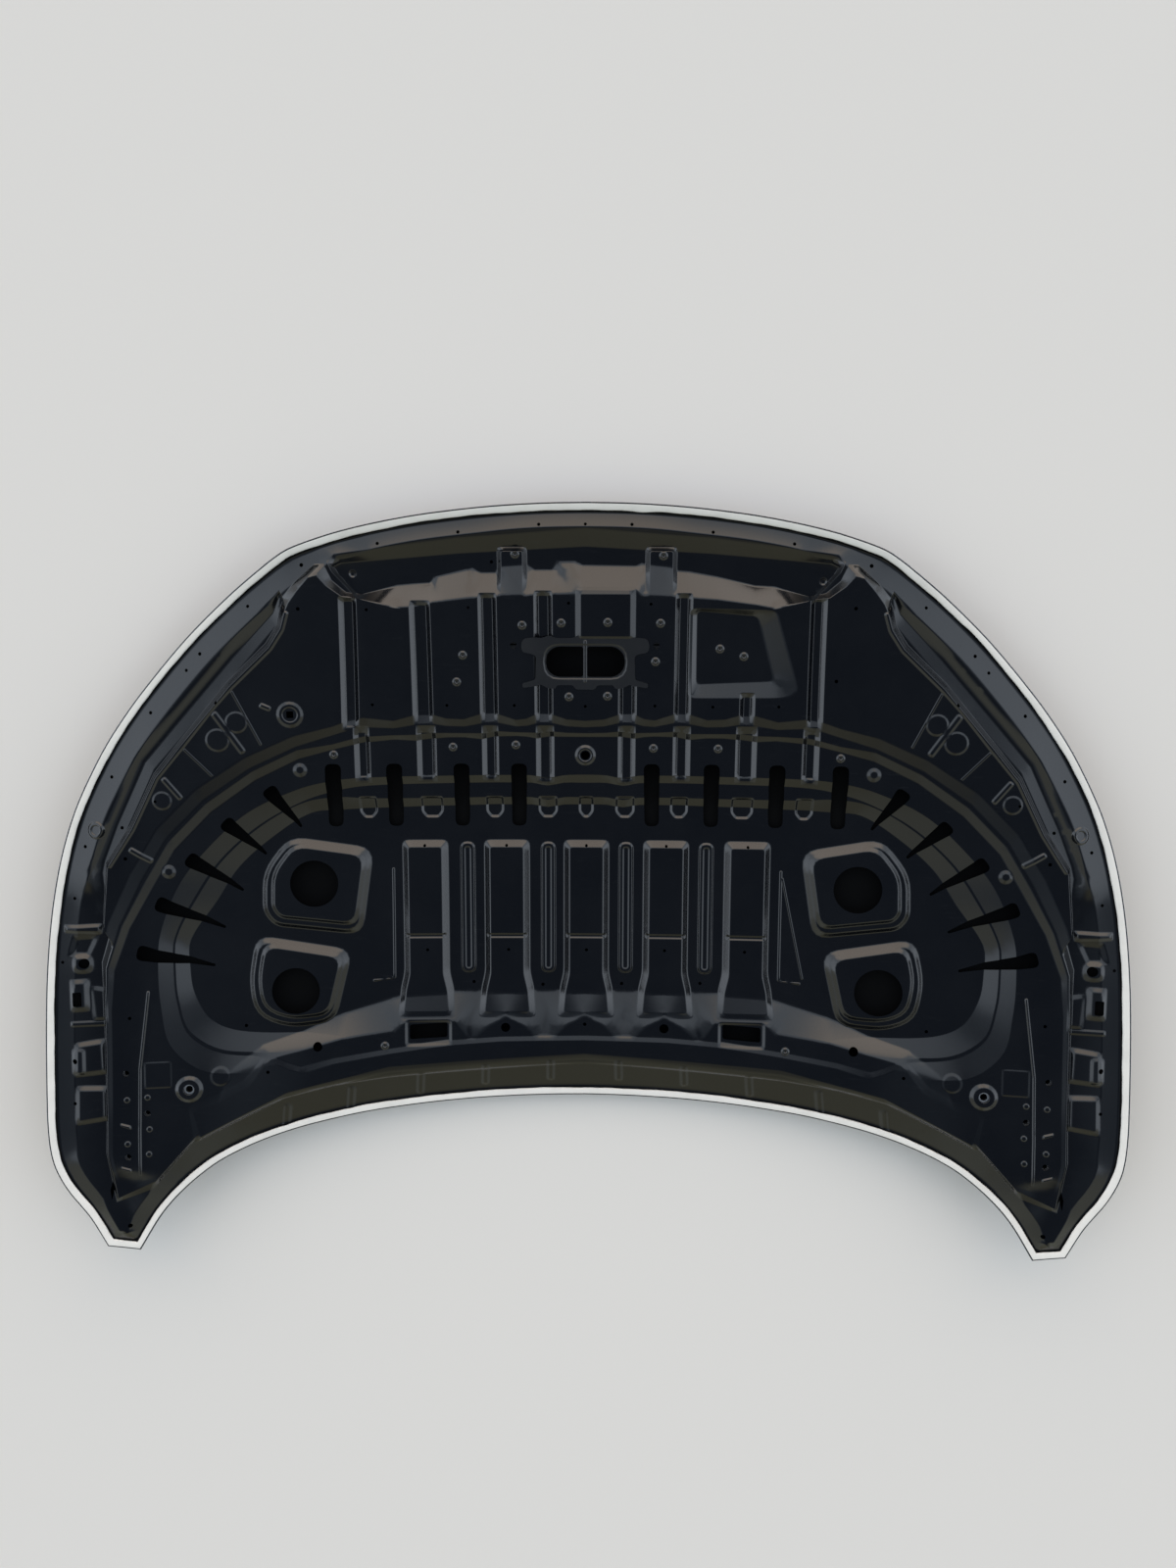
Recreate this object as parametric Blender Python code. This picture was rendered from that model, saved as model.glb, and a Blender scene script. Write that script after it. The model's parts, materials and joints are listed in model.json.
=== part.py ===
"""A steel car bonnet, lying on its outer skin with the pressed inner panel up.

+X is the right side, +Y points to the nose, +Z is up. Every size below is in millimetres, and make_object turns
the finished mesh into metres. Plan points are measured from a cross line through the bowl, and the whole part is
then moved so that its origin is at the bottom centre of its box.
"""

import math

import bmesh
import bpy
import numpy as np
from mathutils import Vector
from mathutils.geometry import delaunay_2d_cdt

MM = 0.001

# Reach of the outline from the cross line
HALF_WIDTH = 744.0
NOSE_REACH = 463.0
REAR_REACH = 367.0
FOOT_REACH = 573.0
FOOT_TIP_WIDTH = 43.0
FOOT_TIP_INSET = 118.0

# Nose: distance from the centre line, and how far the edge has dropped back from the nose's reach
NOSE_EDGE = [(0.0, 0.0), (46.0, 0.7), (92.0, 2.8), (134.0, 6.0), (177.0, 10.6), (220.0, 16.4), (262.0, 23.8),
             (300.0, 32.0), (333.0, 40.6), (371.0, 53.0), (392.0, 61.4), (405.5, 69.4)]
# Flank: distance from the side reach, and Y
FLANK_EDGE = [(320.0, 380.5), (277.0, 346.5), (234.0, 307.7), (201.0, 274.3), (157.0, 224.0), (128.0, 187.5),
              (98.0, 144.0), (73.0, 99.0), (52.7, 55.6), (38.0, 13.8), (27.2, -26.3), (17.6, -74.4), (10.8, -122.0),
              (5.8, -173.0), (2.8, -223.4), (1.0, -275.0), (0.1, -330.0), (0.0, -372.0), (2.2, -412.0),
              (7.0, -440.0), (16.0, -464.0), (27.6, -485.5), (41.4, -505.6), (53.4, -523.6)]
# Rear edge: distance from the side reach, and how far it lies behind the rear's reach
REAR_EDGE = [(148.0, 157.0), (178.0, 124.0), (217.0, 93.0), (253.0, 73.5), (295.5, 56.5),
             (340.0, 43.0), (383.0, 33.0), (435.0, 23.0), (488.0, 15.7), (541.0, 9.8), (600.0, 5.0), (658.0, 2.0),
             (704.0, 0.6)]
FOOT_TIP_DROP = 9.0

# Dish of the outer skin
CROWN_ACROSS = 0.00012
CROWN_TO_NOSE = 0.00020
CROWN_TO_REAR = 0.00014
CROWN_CENTRE_Y = 10.0
SIDE_ROLL = 0.0006
SIDE_ROLL_WIDTH = 142.0
NOSE_ROLL = 0.0022
NOSE_ROLL_WIDTH = 60.0
NOSE_SWEEP = 0.00038

# Sheet and hem
SKIN_THICKNESS = 0.8
SKIN_EDGE_ROUND = 1.2
SKIN_EDGE_LIFT = 0.32
PANEL_THICKNESS = 0.8
PLATE_THICKNESS = 1.8
SEAT_GAP = 0.6
HEM_ROOT = 2.2
HEM_RETURN = 12.0
PANEL_EDGE_INSET = 3.0
SEALER_START = 4.0
SEALER_END = 16.5
SEALER_HEIGHT = 1.4
SEALER_SHOULDER = 0.8
SEALER_TOE = 1.0
FLANGE_START = 2.0
FLANGE_END = 20.0
TROUGH_WALL = 15.0

# Levels of the inner panel above the skin
HEM_LEVEL = 0.8
FLANGE_LEVEL = 9.0
TROUGH_LEVEL = 4.5
FIELD_LEVEL = 27.0
MID_LEVEL = 18.0
LEDGE_LEVEL = 12.0
BOWL_LEVEL = 6.5
CROSS_LEVEL = 19.0
BEAM_LEVEL = 25.0
GROOVE_DEPTH = 6.0
LADDER_HEIGHT = 8.0
POD_HEIGHT = 9.0
BEAD_HEIGHT = 3.0

# Openings in the inner panel
SLOT_WIDTH = 23.0
SIDE_SLOT_TIP = 7.0
SLOT_END_EASE = 4.0
SLOT_END_SHARE = 0.45
POD_HOLE_RADIUS = 33.0
WINDOW_WIDTH = 50.0
WINDOW_LENGTH = 41.0
WINDOW_BAR = 6.0
WINDOW_CORNER = 12.0
WINDOW_LOOP_CORNER = 18.0
STRIKER_Y = 254.0
STRIKER_RIM = 9.0
STRIKER_CORNER = 20.0
STRIKER_CLEARANCE = 1.5
STRIKER_PLATE_REACH = 118.0
STRIKER_PLATE_FRONT = 22.0
STRIKER_PLATE_REAR = 48.0
STRIKER_PLATE_CORNER = 10.0
DRAIN_RADIUS = 6.5
CROSS_SLOT_WIDTH = 52.0
CROSS_SLOT_LENGTH = 21.0
CROSS_SLOT_X = 221.0
CROSS_SLOT_Y = -276.0
DRAIN_HOLES = [(112.0, -262.0), (376.0, -287.0)]
MIDDLE_HOLE_Y = 126.0

# Square pocket right of the striker: its edge and its floor
POCKET = [(140.0, 203.0), (278.0, 203.0), (244.0, 322.0), (140.0, 322.0)]
POCKET_FLOOR = [(150.0, 226.0), (250.0, 230.0), (226.0, 314.0), (150.0, 314.0)]

# Grooves across the field and the middle land: left edge and width of each
FIELD_GROOVES = [(-315.0, 17.0), (-230.0, 21.0), (-139.0, 16.0), (-64.0, 17.0),
                 (48.0, 17.0), (124.0, 14.0), (301.0, 12.0)]
MID_GROOVES = [(-313.0, 15.0), (-227.0, 20.0), (-139.0, 17.0), (-64.0, 18.0),
               (48.0, 18.0), (123.0, 17.0), (208.0, 22.0), (298.0, 17.0)]
GROOVE_WALL = 5.0
FIELD_GROOVE_FRONT = 332.0
FIELD_GROOVE_REAR = 187.0
MID_GROOVE_FRONT = 150.0
MID_GROOVE_REAR = 101.0

# Ladder pads: middle of each, with the crossing groove
LADDER_X = [-224.0, -110.0, 1.5, 113.0, 226.0]
LADDER_WIDTH = 66.0
LADDER_WALL = 11.0
LADDER_CORNER = 9.0
LADDER_FRONT = 4.0
LADDER_SPLIT = -132.0
LADDER_SPLIT_WIDTH = 19.0
LADDER_REAR = -250.0
BEAD_X = [-165.0, -52.0, 57.0, 169.0]
BEAD_WIDTH = 19.0
BEAD_WALL = 6.0
BEAD_CORNER = 8.0
BEAD_FRONT = 1.0
BEAD_REAR = -187.0

# Pods with a round hole: distance of the hole from the side edge and its Y, and the pod's corners about it
FRONT_POD = (367.0, -57.0)
FRONT_POD_CORNERS = [(-74.0, 46.0), (22.0, 67.0), (60.0, 45.0), (69.0, 15.0), (68.0, -42.0),
                     (48.0, -62.0), (-48.0, -72.0)]
REAR_POD = (337.0, -206.0)
REAR_POD_CORNERS = [(-74.0, 50.0), (40.0, 76.0), (62.0, 26.0), (40.0, -44.0), (18.0, -50.0), (-50.0, -50.0)]
POD_WALL = 12.0
POD_CORNER_RADIUS = 26.0

# Slots of the bowl's wall: distance from the side edge and Y of each one's outer and inner end
SIDE_SLOTS = [((127.0, -145.0), (226.0, -171.0)), ((156.0, -76.0), (242.0, -117.0)),
              ((199.0, -14.0), (268.0, -65.0)), ((250.0, 36.0), (301.0, -14.0)),
              ((310.0, 81.0), (350.0, 24.0))]
FRONT_SLOTS = [-345.0, -262.0, -170.0, -91.0, 91.0, 173.0, 262.0, 347.0]
FRONT_SLOT_FRONT = 113.0
FRONT_SLOT_REAR = 24.0

# Hinge seats, measured from the side edge
HINGE_SEAT_INSET = 99.0
HINGE_SEAT_WIDTH = 42.0
HINGE_FRONT_Y = -246.0
HINGE_REAR_Y = -452.0
HINGE_PLATE_EASE = 0.4
HINGE_SEAT_MARGIN = 1.0
HINGE_HOLES = [(107.0, -316.0), (134.0, -374.0), (108.0, -434.0)]
HINGE_HOLE_RADIUS = 4.5
NUT_FLAT = 13.0
NUT_HEIGHT = 6.5
NUT_BORE = 4.0
STAY_HOLE = (191.0, -342.0)
STAY_HOLE_RADIUS = 7.5
STAY_BOSS_RADIUS = 17.0
STAY_BOSS_HEIGHT = 2.5
STAY_BOSS_WALL = 6.0
STAY_NUT_FLAT = 22.0
STAY_NUT_BORE = 5.0

# Side column pads, measured from the side edge
COLUMN_INSET = 32.0
COLUMN_WIDTH = 52.0
COLUMN_WALL = 8.0
COLUMN_PADS = [(-104.0, -176.0), (-184.0, -232.0), (-262.0, -286.0), (-322.0, -352.0)]
COLUMN_RISE = 5.0
SQUARE_HOLE = 12.0
SQUARE_HOLE_AT = (44.0, -208.0)
BUFFER_HOLE_AT = (55.0, -150.0)
BUFFER_HOLE_RADIUS = 7.0

# Mastic pads on the skin, measured from the side edge
MASTIC_RADIUS = 9.0
MASTIC_SIDES = 10
MASTIC_SPOTS = [(463.0, -75.0), (440.0, 14.0), (246.0, -196.0), (448.0, -208.0)]

# Brace behind the nose
BRACE_HALF_LENGTH = 286.0
BRACE_FRONT = 330.0
BRACE_WIDTH = 52.0
BRACE_FLANGE = 11.0
BRACE_WALL = 10.0
BRACE_FLOOR_LEVEL = 1.5
BRACE_STEP = 60.0

# Fineness of the mesh
OUTLINE_STEP = 44.0
LAND_STEP = 62.0
GRID_STEP = 78.0
PLATE_STEP = 32.0
HOLE_SIDES = 12
SMALL_HOLE_SIDES = 8
POD_HOLE_SIDES = 16
NUT_POINTS = 12
LEVEL_PROBE = 5.0

COLOURS = {
    "navy_paint": ((0.012, 0.015, 0.022, 1.0), 0.28, 0.0),
    "primer_paint": ((0.020, 0.022, 0.026, 1.0), 0.45, 0.0),
    "sealer_white": ((0.68, 0.70, 0.66, 1.0), 0.55, 0.0),
    "plated_steel": ((0.42, 0.43, 0.44, 1.0), 0.38, 1.0),
    "mastic_grey": ((0.10, 0.10, 0.11, 1.0), 0.80, 0.0),
}


def clear_scene():
    for item in list(bpy.data.objects):
        bpy.data.objects.remove(item, do_unlink=True)


def material(name):
    """The named finish, made once."""
    known = bpy.data.materials.get(name)
    if known:
        return known
    colour, roughness, metallic = COLOURS[name]
    made = bpy.data.materials.new(name)
    made.use_nodes = True
    shader = made.node_tree.nodes["Principled BSDF"]
    shader.inputs["Base Color"].default_value = colour
    shader.inputs["Roughness"].default_value = roughness
    shader.inputs["Metallic"].default_value = metallic
    made.diffuse_color = colour
    return made


# Outlines

def turned_left(points):
    """The loop, listed counter-clockwise."""
    area = 0.0
    for (ax, ay), (bx, by) in zip(points, points[1:] + points[:1]):
        area += ax * by - bx * ay
    return points if area > 0 else points[::-1]


def curve_through(points, step):
    """Points every step along a smooth curve through the given points."""
    out = []
    last = len(points) - 1
    for k in range(last):
        before = Vector(points[max(k - 1, 0)])
        start = Vector(points[k])
        end = Vector(points[k + 1])
        after = Vector(points[min(k + 2, last)])
        count = max(1, round((end - start).length / step))
        lean_in = (end - before) / 2
        lean_out = (after - start) / 2
        for i in range(count):
            t = i / count
            a = 2 * t ** 3 - 3 * t ** 2 + 1
            b = t ** 3 - 2 * t ** 2 + t
            c = 3 * t ** 2 - 2 * t ** 3
            d = t ** 3 - t ** 2
            at = start * a + lean_in * b + end * c + lean_out * d
            out.append((at.x, at.y))
    out.append(tuple(points[last]))
    return out


def mirrored_loop(half):
    """A closed loop from its right-hand half, which runs from the nose centre to the rear centre."""
    left = [(-x, y) for x, y in half[::-1] if x > 1e-6]
    return turned_left(half + left)


def both_sides(points):
    return [points, [(-x, y) for x, y in points]]


def off_edge(spot, side=1.0):
    """Plan point of a spot given by its distance from one side edge and its Y."""
    return side * (HALF_WIDTH - spot[0]), spot[1]


def rounded(points, radius, steps=3):
    """A polygon with its corners rounded."""
    points = turned_left(points)
    out = []
    count = len(points)
    for k in range(count):
        here = Vector(points[k])
        back = (Vector(points[k - 1]) - here)
        ahead = (Vector(points[(k + 1) % count]) - here)
        reach = min(radius, back.length * 0.45, ahead.length * 0.45)
        start = here + back.normalized() * reach
        end = here + ahead.normalized() * reach
        for i in range(steps + 1):
            t = i / steps
            at = start * (1 - t) ** 2 + here * 2 * t * (1 - t) + end * t ** 2
            out.append((at.x, at.y))
    return out


def rectangle(left, right, rear, front):
    return [(left, rear), (right, rear), (right, front), (left, front)]


def circle(centre, radius, sides=HOLE_SIDES):
    out = []
    for i in range(sides):
        angle = 2 * math.pi * (i + 0.5) / sides
        out.append((centre[0] + radius * math.cos(angle), centre[1] + radius * math.sin(angle)))
    return out


def long_hole(start, end, width, end_width):
    """A slot with eased ends between two end points, which may narrow to its end."""
    start = Vector(start)
    end = Vector(end)
    along = (end - start).normalized()
    across = Vector((-along.y, along.x))
    wide = across * width / 2
    narrow = across * end_width / 2
    ease = along * SLOT_END_EASE
    points = [start + ease - wide, end - ease - narrow, end - narrow * SLOT_END_SHARE, end + narrow * SLOT_END_SHARE,
              end - ease + narrow, start + ease + wide, start + wide * SLOT_END_SHARE, start - wide * SLOT_END_SHARE]
    return turned_left([(p.x, p.y) for p in points])


def inset(points, distance):
    """The loop moved inward by a distance."""
    points = turned_left(points)
    out = []
    count = len(points)
    for k in range(count):
        here = Vector(points[k])
        back = (here - Vector(points[k - 1])).normalized()
        ahead = (Vector(points[(k + 1) % count]) - here).normalized()
        normal = Vector((-back.y - ahead.y, back.x + ahead.x))
        normal = normal / max(normal.length_squared / 2, 0.35)
        out.append((here.x + normal.x * distance, here.y + normal.y * distance))
    return out


def resampled(points, step):
    """The closed loop with its long edges divided."""
    out = []
    for (ax, ay), (bx, by) in zip(points, points[1:] + points[:1]):
        count = max(1, round(math.hypot(bx - ax, by - ay) / step))
        for i in range(count):
            t = i / count
            out.append((ax + (bx - ax) * t, ay + (by - ay) * t))
    return out


def distance_inside(x, y, loop):
    """Distance from each point to the loop, positive inside it."""
    nearest = np.full(x.shape, 1e9)
    inside = np.zeros(x.shape, bool)
    for (ax, ay), (bx, by) in zip(loop, loop[1:] + loop[:1]):
        dx = bx - ax
        dy = by - ay
        t = np.clip(((x - ax) * dx + (y - ay) * dy) / max(dx * dx + dy * dy, 1e-9), 0, 1)
        nearest = np.minimum(nearest, np.hypot(x - ax - t * dx, y - ay - t * dy))
        if abs(dy) > 1e-9:
            crosses = ((ay > y) != (by > y)) & (x < dx * (y - ay) / dy + ax)
            inside ^= crosses
    return np.where(inside, nearest, -nearest)


# Form of the skin and of the inner panel

def outline_half():
    """The right-hand half of the bonnet's edge, from the nose centre to the rear centre."""
    side = HALF_WIDTH
    tip_inner = (side - FOOT_TIP_INSET, -FOOT_REACH)
    tip_outer = (side - FOOT_TIP_INSET + FOOT_TIP_WIDTH, -FOOT_REACH + FOOT_TIP_DROP)
    flank = [(x, NOSE_REACH - drop) for x, drop in NOSE_EDGE]
    flank += [(side - inset_by, y) for inset_by, y in FLANK_EDGE]
    flank.append(tip_outer)
    rear = [tip_inner]
    rear += [(side - inset_by, -REAR_REACH - drop) for inset_by, drop in REAR_EDGE]
    rear.append((0.0, -REAR_REACH))
    half = []
    for section in (flank, [tip_outer, tip_inner], rear):
        points = curve_through(section, OUTLINE_STEP)
        half += points if not half else points[1:]
    return half


def land_loops():
    """The outer and inner edge and the level of each broad land, in the order in which they are pressed."""
    side = HALF_WIDTH
    outline = mirrored_loop(outline_half())
    flange = (inset(outline, SEALER_END + FLANGE_START), inset(outline, SEALER_END + FLANGE_END), FLANGE_LEVEL)
    trough_edge = [(0.0, NOSE_REACH - 32.0), (170.0, NOSE_REACH - 42.0), (331.0, NOSE_REACH - 57.0),
                   (side - 326.0, 325.0), (side - 267.0, 266.0), (side - 188.0, 178.0), (side - 142.0, 123.0),
                   (side - 101.0, 35.0), (side - 82.0, -30.0), (side - 100.0, -60.0), (500.0, -60.0), (0.0, -60.0)]
    trough_loop = mirrored_loop(trough_edge)
    trough = (trough_loop, inset(trough_loop, TROUGH_WALL), TROUGH_LEVEL)
    ridge = [(side - 420.0, 345.0), (side - 351.0, 320.0), (side - 343.0, 297.0), (side - 326.0, 272.0),
             (side - 271.0, 220.0), (side - 204.0, 142.0), (side - 167.0, 98.0), (side - 132.0, 28.0),
             (side - 98.0, -30.0), (side - 90.0, -110.0)]
    field_edge = [(0.0, NOSE_REACH - 74.0), (160.0, NOSE_REACH - 82.0), (255.0, NOSE_REACH - 108.0)] + ridge
    field_edge += [(side - 150.0, -250.0), (0.0, -250.0)]
    field_top = [(0.0, NOSE_REACH - 122.0), (160.0, NOSE_REACH - 128.0), (255.0, NOSE_REACH - 138.0)]
    field_top += [(x - 12.0, y - 6.0) for x, y in ridge[1:]] + [(side - 165.0, -240.0), (0.0, -240.0)]
    field = (mirrored_loop(field_edge), mirrored_loop(field_top), FIELD_LEVEL)
    arc = [(0.0, 183.0), (329.0, 169.0), (side - 344.0, 152.0), (side - 277.0, 119.0), (side - 212.0, 72.0),
           (side - 160.0, 18.0), (side - 128.0, -40.0), (side - 98.0, -100.0), (side - 78.0, -220.0),
           (side - 74.0, -430.0), (side - 84.0, -500.0)]
    rear_rim = [(side - 140.0, -REAR_REACH - 115.0), (side - 200.0, -REAR_REACH - 54.0),
                (side - 310.0, -REAR_REACH - 10.0), (277.0, -REAR_REACH + 20.0), (0.0, -REAR_REACH + 37.0)]
    arc_foot = [(0.0, 151.0), (326.0, 138.0), (side - 354.0, 120.0), (side - 293.0, 90.0), (side - 232.0, 45.0),
                (side - 182.0, -6.0), (side - 150.0, -60.0), (side - 118.0, -115.0), (side - 92.0, -220.0),
                (side - 90.0, -430.0), (side - 96.0, -484.0)]
    rear_foot = [(side - 147.0, -REAR_REACH - 92.0), (side - 214.0, -REAR_REACH - 31.0),
                 (side - 320.0, -REAR_REACH + 14.0), (277.0, -REAR_REACH + 44.0), (0.0, -REAR_REACH + 60.0)]
    middle = (mirrored_loop(arc + rear_rim), mirrored_loop(arc_foot + rear_foot), MID_LEVEL)
    brow = [(0.0, 98.0), (300.0, 96.0), (side - 364.0, 84.0), (side - 312.0, 58.0), (side - 256.0, 14.0),
            (side - 208.0, -38.0), (side - 166.0, -92.0), (side - 144.0, -150.0), (side - 146.0, -225.0),
            (side - 172.0, -285.0), (side - 250.0, -322.0), (340.0, -300.0), (0.0, -262.0)]
    ledge_front = [(0.0, 84.0), (300.0, 82.0), (side - 374.0, 66.0), (side - 326.0, 36.0), (side - 276.0, -6.0),
                   (side - 231.0, -54.0), (side - 194.0, -104.0), (side - 176.0, -158.0), (side - 178.0, -220.0),
                   (side - 200.0, -262.0), (side - 258.0, -292.0), (340.0, -278.0), (0.0, -238.0)]
    ledge = (mirrored_loop(brow), mirrored_loop(ledge_front), LEDGE_LEVEL)
    bowl_edge = [(0.0, 64.0), (300.0, 60.0), (side - 380.0, 46.0), (side - 334.0, 22.0), (side - 284.0, -18.0),
                 (side - 242.0, -62.0), (side - 206.0, -112.0), (side - 190.0, -162.0), (side - 190.0, -216.0),
                 (side - 210.0, -252.0), (side - 262.0, -280.0), (344.0, -266.0), (0.0, -230.0)]
    bowl_foot = [(0.0, 53.0), (300.0, 44.0), (side - 392.0, 20.0), (side - 348.0, -8.0), (side - 300.0, -42.0),
                 (side - 264.0, -84.0), (side - 236.0, -130.0), (side - 216.0, -175.0), (side - 214.0, -206.0),
                 (side - 232.0, -236.0), (side - 270.0, -258.0), (350.0, -250.0), (0.0, -211.0)]
    bowl = (mirrored_loop(bowl_edge), mirrored_loop(bowl_foot), BOWL_LEVEL)
    return [flange, trough, field, middle, ledge, bowl]


def rear_loops():
    """The cross member and the rear beam, which are pressed after the ladder pads and cut them off."""
    side = HALF_WIDTH
    cross_edge = [(0.0, -208.0), (190.0, -211.0), (250.0, -215.0), (345.0, -243.0), (side - 344.0, -268.0),
                  (side - 289.0, -284.0), (side - 244.0, -318.0), (side - 224.0, -372.0), (side - 344.0, -352.0),
                  (277.0, -336.0), (0.0, -REAR_REACH + 51.0)]
    cross_top = [(0.0, -246.0), (190.0, -250.0), (250.0, -256.0), (342.0, -277.0), (side - 352.0, -292.0),
                 (side - 304.0, -304.0), (side - 270.0, -334.0), (side - 244.0, -360.0), (side - 348.0, -340.0),
                 (277.0, -322.0), (0.0, -REAR_REACH + 67.0)]
    cross = (mirrored_loop(cross_edge), mirrored_loop(cross_top), CROSS_LEVEL)
    beam_edge = [(0.0, -272.0), (196.0, -279.0), (354.0, -302.0), (side - 345.0, -313.0), (side - 329.0, -308.0),
                 (side - 312.0, -300.0), (side - 289.0, -302.0), (side - 264.0, -331.0), (side - 314.0, -372.0),
                 (277.0, -342.0), (0.0, -REAR_REACH + 45.0)]
    beam_top = [(0.0, -281.0), (196.0, -289.0), (354.0, -313.0), (side - 348.0, -325.0), (side - 330.0, -320.0),
                (side - 310.0, -311.0), (side - 294.0, -314.0), (side - 274.0, -341.0), (side - 324.0, -352.0),
                (277.0, -323.0), (0.0, -REAR_REACH + 63.0)]
    beam = (mirrored_loop(beam_edge), mirrored_loop(beam_top), BEAM_LEVEL)
    return [cross, beam]


def raised_forms():
    """The outer and inner edge and the rise of each bead, pad and groove, which add to the level under them."""
    forms = []
    wall = GROOVE_WALL
    for left, width in FIELD_GROOVES:
        box = rectangle(left, left + width, FIELD_GROOVE_REAR, FIELD_GROOVE_FRONT)
        forms.append((box, rectangle(left + wall, left + width - wall, FIELD_GROOVE_REAR + wall,
                                     FIELD_GROOVE_FRONT - wall), -GROOVE_DEPTH))
    for left, width in MID_GROOVES:
        box = rectangle(left, left + width, MID_GROOVE_REAR, MID_GROOVE_FRONT)
        forms.append((box, rectangle(left + wall, left + width - wall, MID_GROOVE_REAR + wall,
                                     MID_GROOVE_FRONT - wall), -GROOVE_DEPTH))
    forms.append((POCKET, POCKET_FLOOR, -GROOVE_DEPTH))
    for x in LADDER_X:
        half = LADDER_WIDTH / 2
        stretches = [(LADDER_SPLIT + LADDER_SPLIT_WIDTH / 2 - LADDER_WALL / 2, LADDER_FRONT),
                     (LADDER_REAR, LADDER_SPLIT - LADDER_SPLIT_WIDTH / 2 + LADDER_WALL / 2)]
        for rear, front in stretches:
            box = rounded(rectangle(x - half, x + half, rear, front), LADDER_CORNER, 1)
            forms.append((box, inset(box, LADDER_WALL), LADDER_HEIGHT))
    for x in BEAD_X:
        half = BEAD_WIDTH / 2
        box = rounded(rectangle(x - half, x + half, BEAD_REAR, BEAD_FRONT), BEAD_CORNER, 1)
        forms.append((box, inset(box, BEAD_WALL), BEAD_HEIGHT))
    for spot, corners in ((FRONT_POD, FRONT_POD_CORNERS), (REAR_POD, REAR_POD_CORNERS)):
        middle = off_edge(spot)
        plan = [(middle[0] + x, middle[1] + y) for x, y in corners]
        for loop in both_sides(rounded(plan, POD_CORNER_RADIUS, 2)):
            forms.append((turned_left(loop), inset(loop, POD_WALL), POD_HEIGHT))
    for front, rear in COLUMN_PADS:
        outer_x = HALF_WIDTH - COLUMN_INSET
        box = rectangle(outer_x - COLUMN_WIDTH, outer_x, rear, front)
        for loop in both_sides(box):
            forms.append((turned_left(loop), inset(loop, COLUMN_WALL), COLUMN_RISE))
    for side in (-1.0, 1.0):
        boss = circle(off_edge(STAY_HOLE, side), STAY_BOSS_RADIUS + STAY_BOSS_WALL)
        forms.append((boss, inset(boss, STAY_BOSS_WALL), STAY_BOSS_HEIGHT))
    return forms


def panel_holes():
    """Every opening through the inner panel."""
    holes = [striker_window_loop(STRIKER_CLEARANCE)]
    for side in (-1.0, 1.0):
        for outer, inner in SIDE_SLOTS:
            holes.append(long_hole(off_edge(outer, side), off_edge(inner, side), SLOT_WIDTH, SIDE_SLOT_TIP))
        for spot in (FRONT_POD, REAR_POD):
            holes.append(circle(off_edge(spot, side), POD_HOLE_RADIUS, POD_HOLE_SIDES))
        for spot in HINGE_HOLES:
            holes.append(circle(off_edge(spot, side), HINGE_HOLE_RADIUS, SMALL_HOLE_SIDES))
        holes.append(circle(off_edge(STAY_HOLE, side), STAY_HOLE_RADIUS, SMALL_HOLE_SIDES))
        x, y = off_edge(SQUARE_HOLE_AT, side)
        half = SQUARE_HOLE / 2
        holes.append(rectangle(x - half, x + half, y - half, y + half))
        holes.append(circle(off_edge(BUFFER_HOLE_AT, side), BUFFER_HOLE_RADIUS, SMALL_HOLE_SIDES))
        for x, y in DRAIN_HOLES:
            holes.append(circle((side * x, y), DRAIN_RADIUS, SMALL_HOLE_SIDES))
        half = CROSS_SLOT_WIDTH / 2
        middle = side * CROSS_SLOT_X
        holes.append(rectangle(middle - half, middle + half, CROSS_SLOT_Y, CROSS_SLOT_Y + CROSS_SLOT_LENGTH))
    for x in FRONT_SLOTS:
        holes.append(long_hole((x, FRONT_SLOT_FRONT), (x, FRONT_SLOT_REAR), SLOT_WIDTH, SLOT_WIDTH))
    holes.append(circle((0.0, MIDDLE_HOLE_Y), DRAIN_RADIUS, SMALL_HOLE_SIDES))
    return holes


def striker_window_loop(clearance):
    """One outline round both striker windows, let out by a clearance."""
    half = WINDOW_WIDTH + WINDOW_BAR / 2 + clearance
    rear = STRIKER_Y - WINDOW_LENGTH / 2 - clearance
    front = STRIKER_Y + WINDOW_LENGTH / 2 + clearance
    return rounded(rectangle(-half, half, rear, front), WINDOW_LOOP_CORNER)


def skin_under(x, y):
    """Height of the skin's outer face, the lowest of the part."""
    z = CROWN_ACROSS * x * x
    z = z + SIDE_ROLL * np.clip(np.abs(x) - (HALF_WIDTH - SIDE_ROLL_WIDTH), 0, None) ** 2
    run = y - CROWN_CENTRE_Y
    z = z + np.where(run > 0, CROWN_TO_NOSE, CROWN_TO_REAR) * run * run
    lip = y - (NOSE_REACH - NOSE_SWEEP * x * x - NOSE_ROLL_WIDTH)
    return z + NOSE_ROLL * np.clip(lip, 0, None) ** 2


def panel_under(x, y):
    """Height of the inner panel's lower face."""
    level = np.full(x.shape, HEM_LEVEL)
    for outer, inner, height in land_loops():
        level = level + (height - level) * rise_share(x, y, outer, inner)
    for outer, inner, height in raised_forms():
        level = level + height * rise_share(x, y, outer, inner)
    for outer, inner, height in rear_loops():
        level = level + (height - level) * rise_share(x, y, outer, inner)
    return skin_under(x, y) + SKIN_THICKNESS + level


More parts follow.
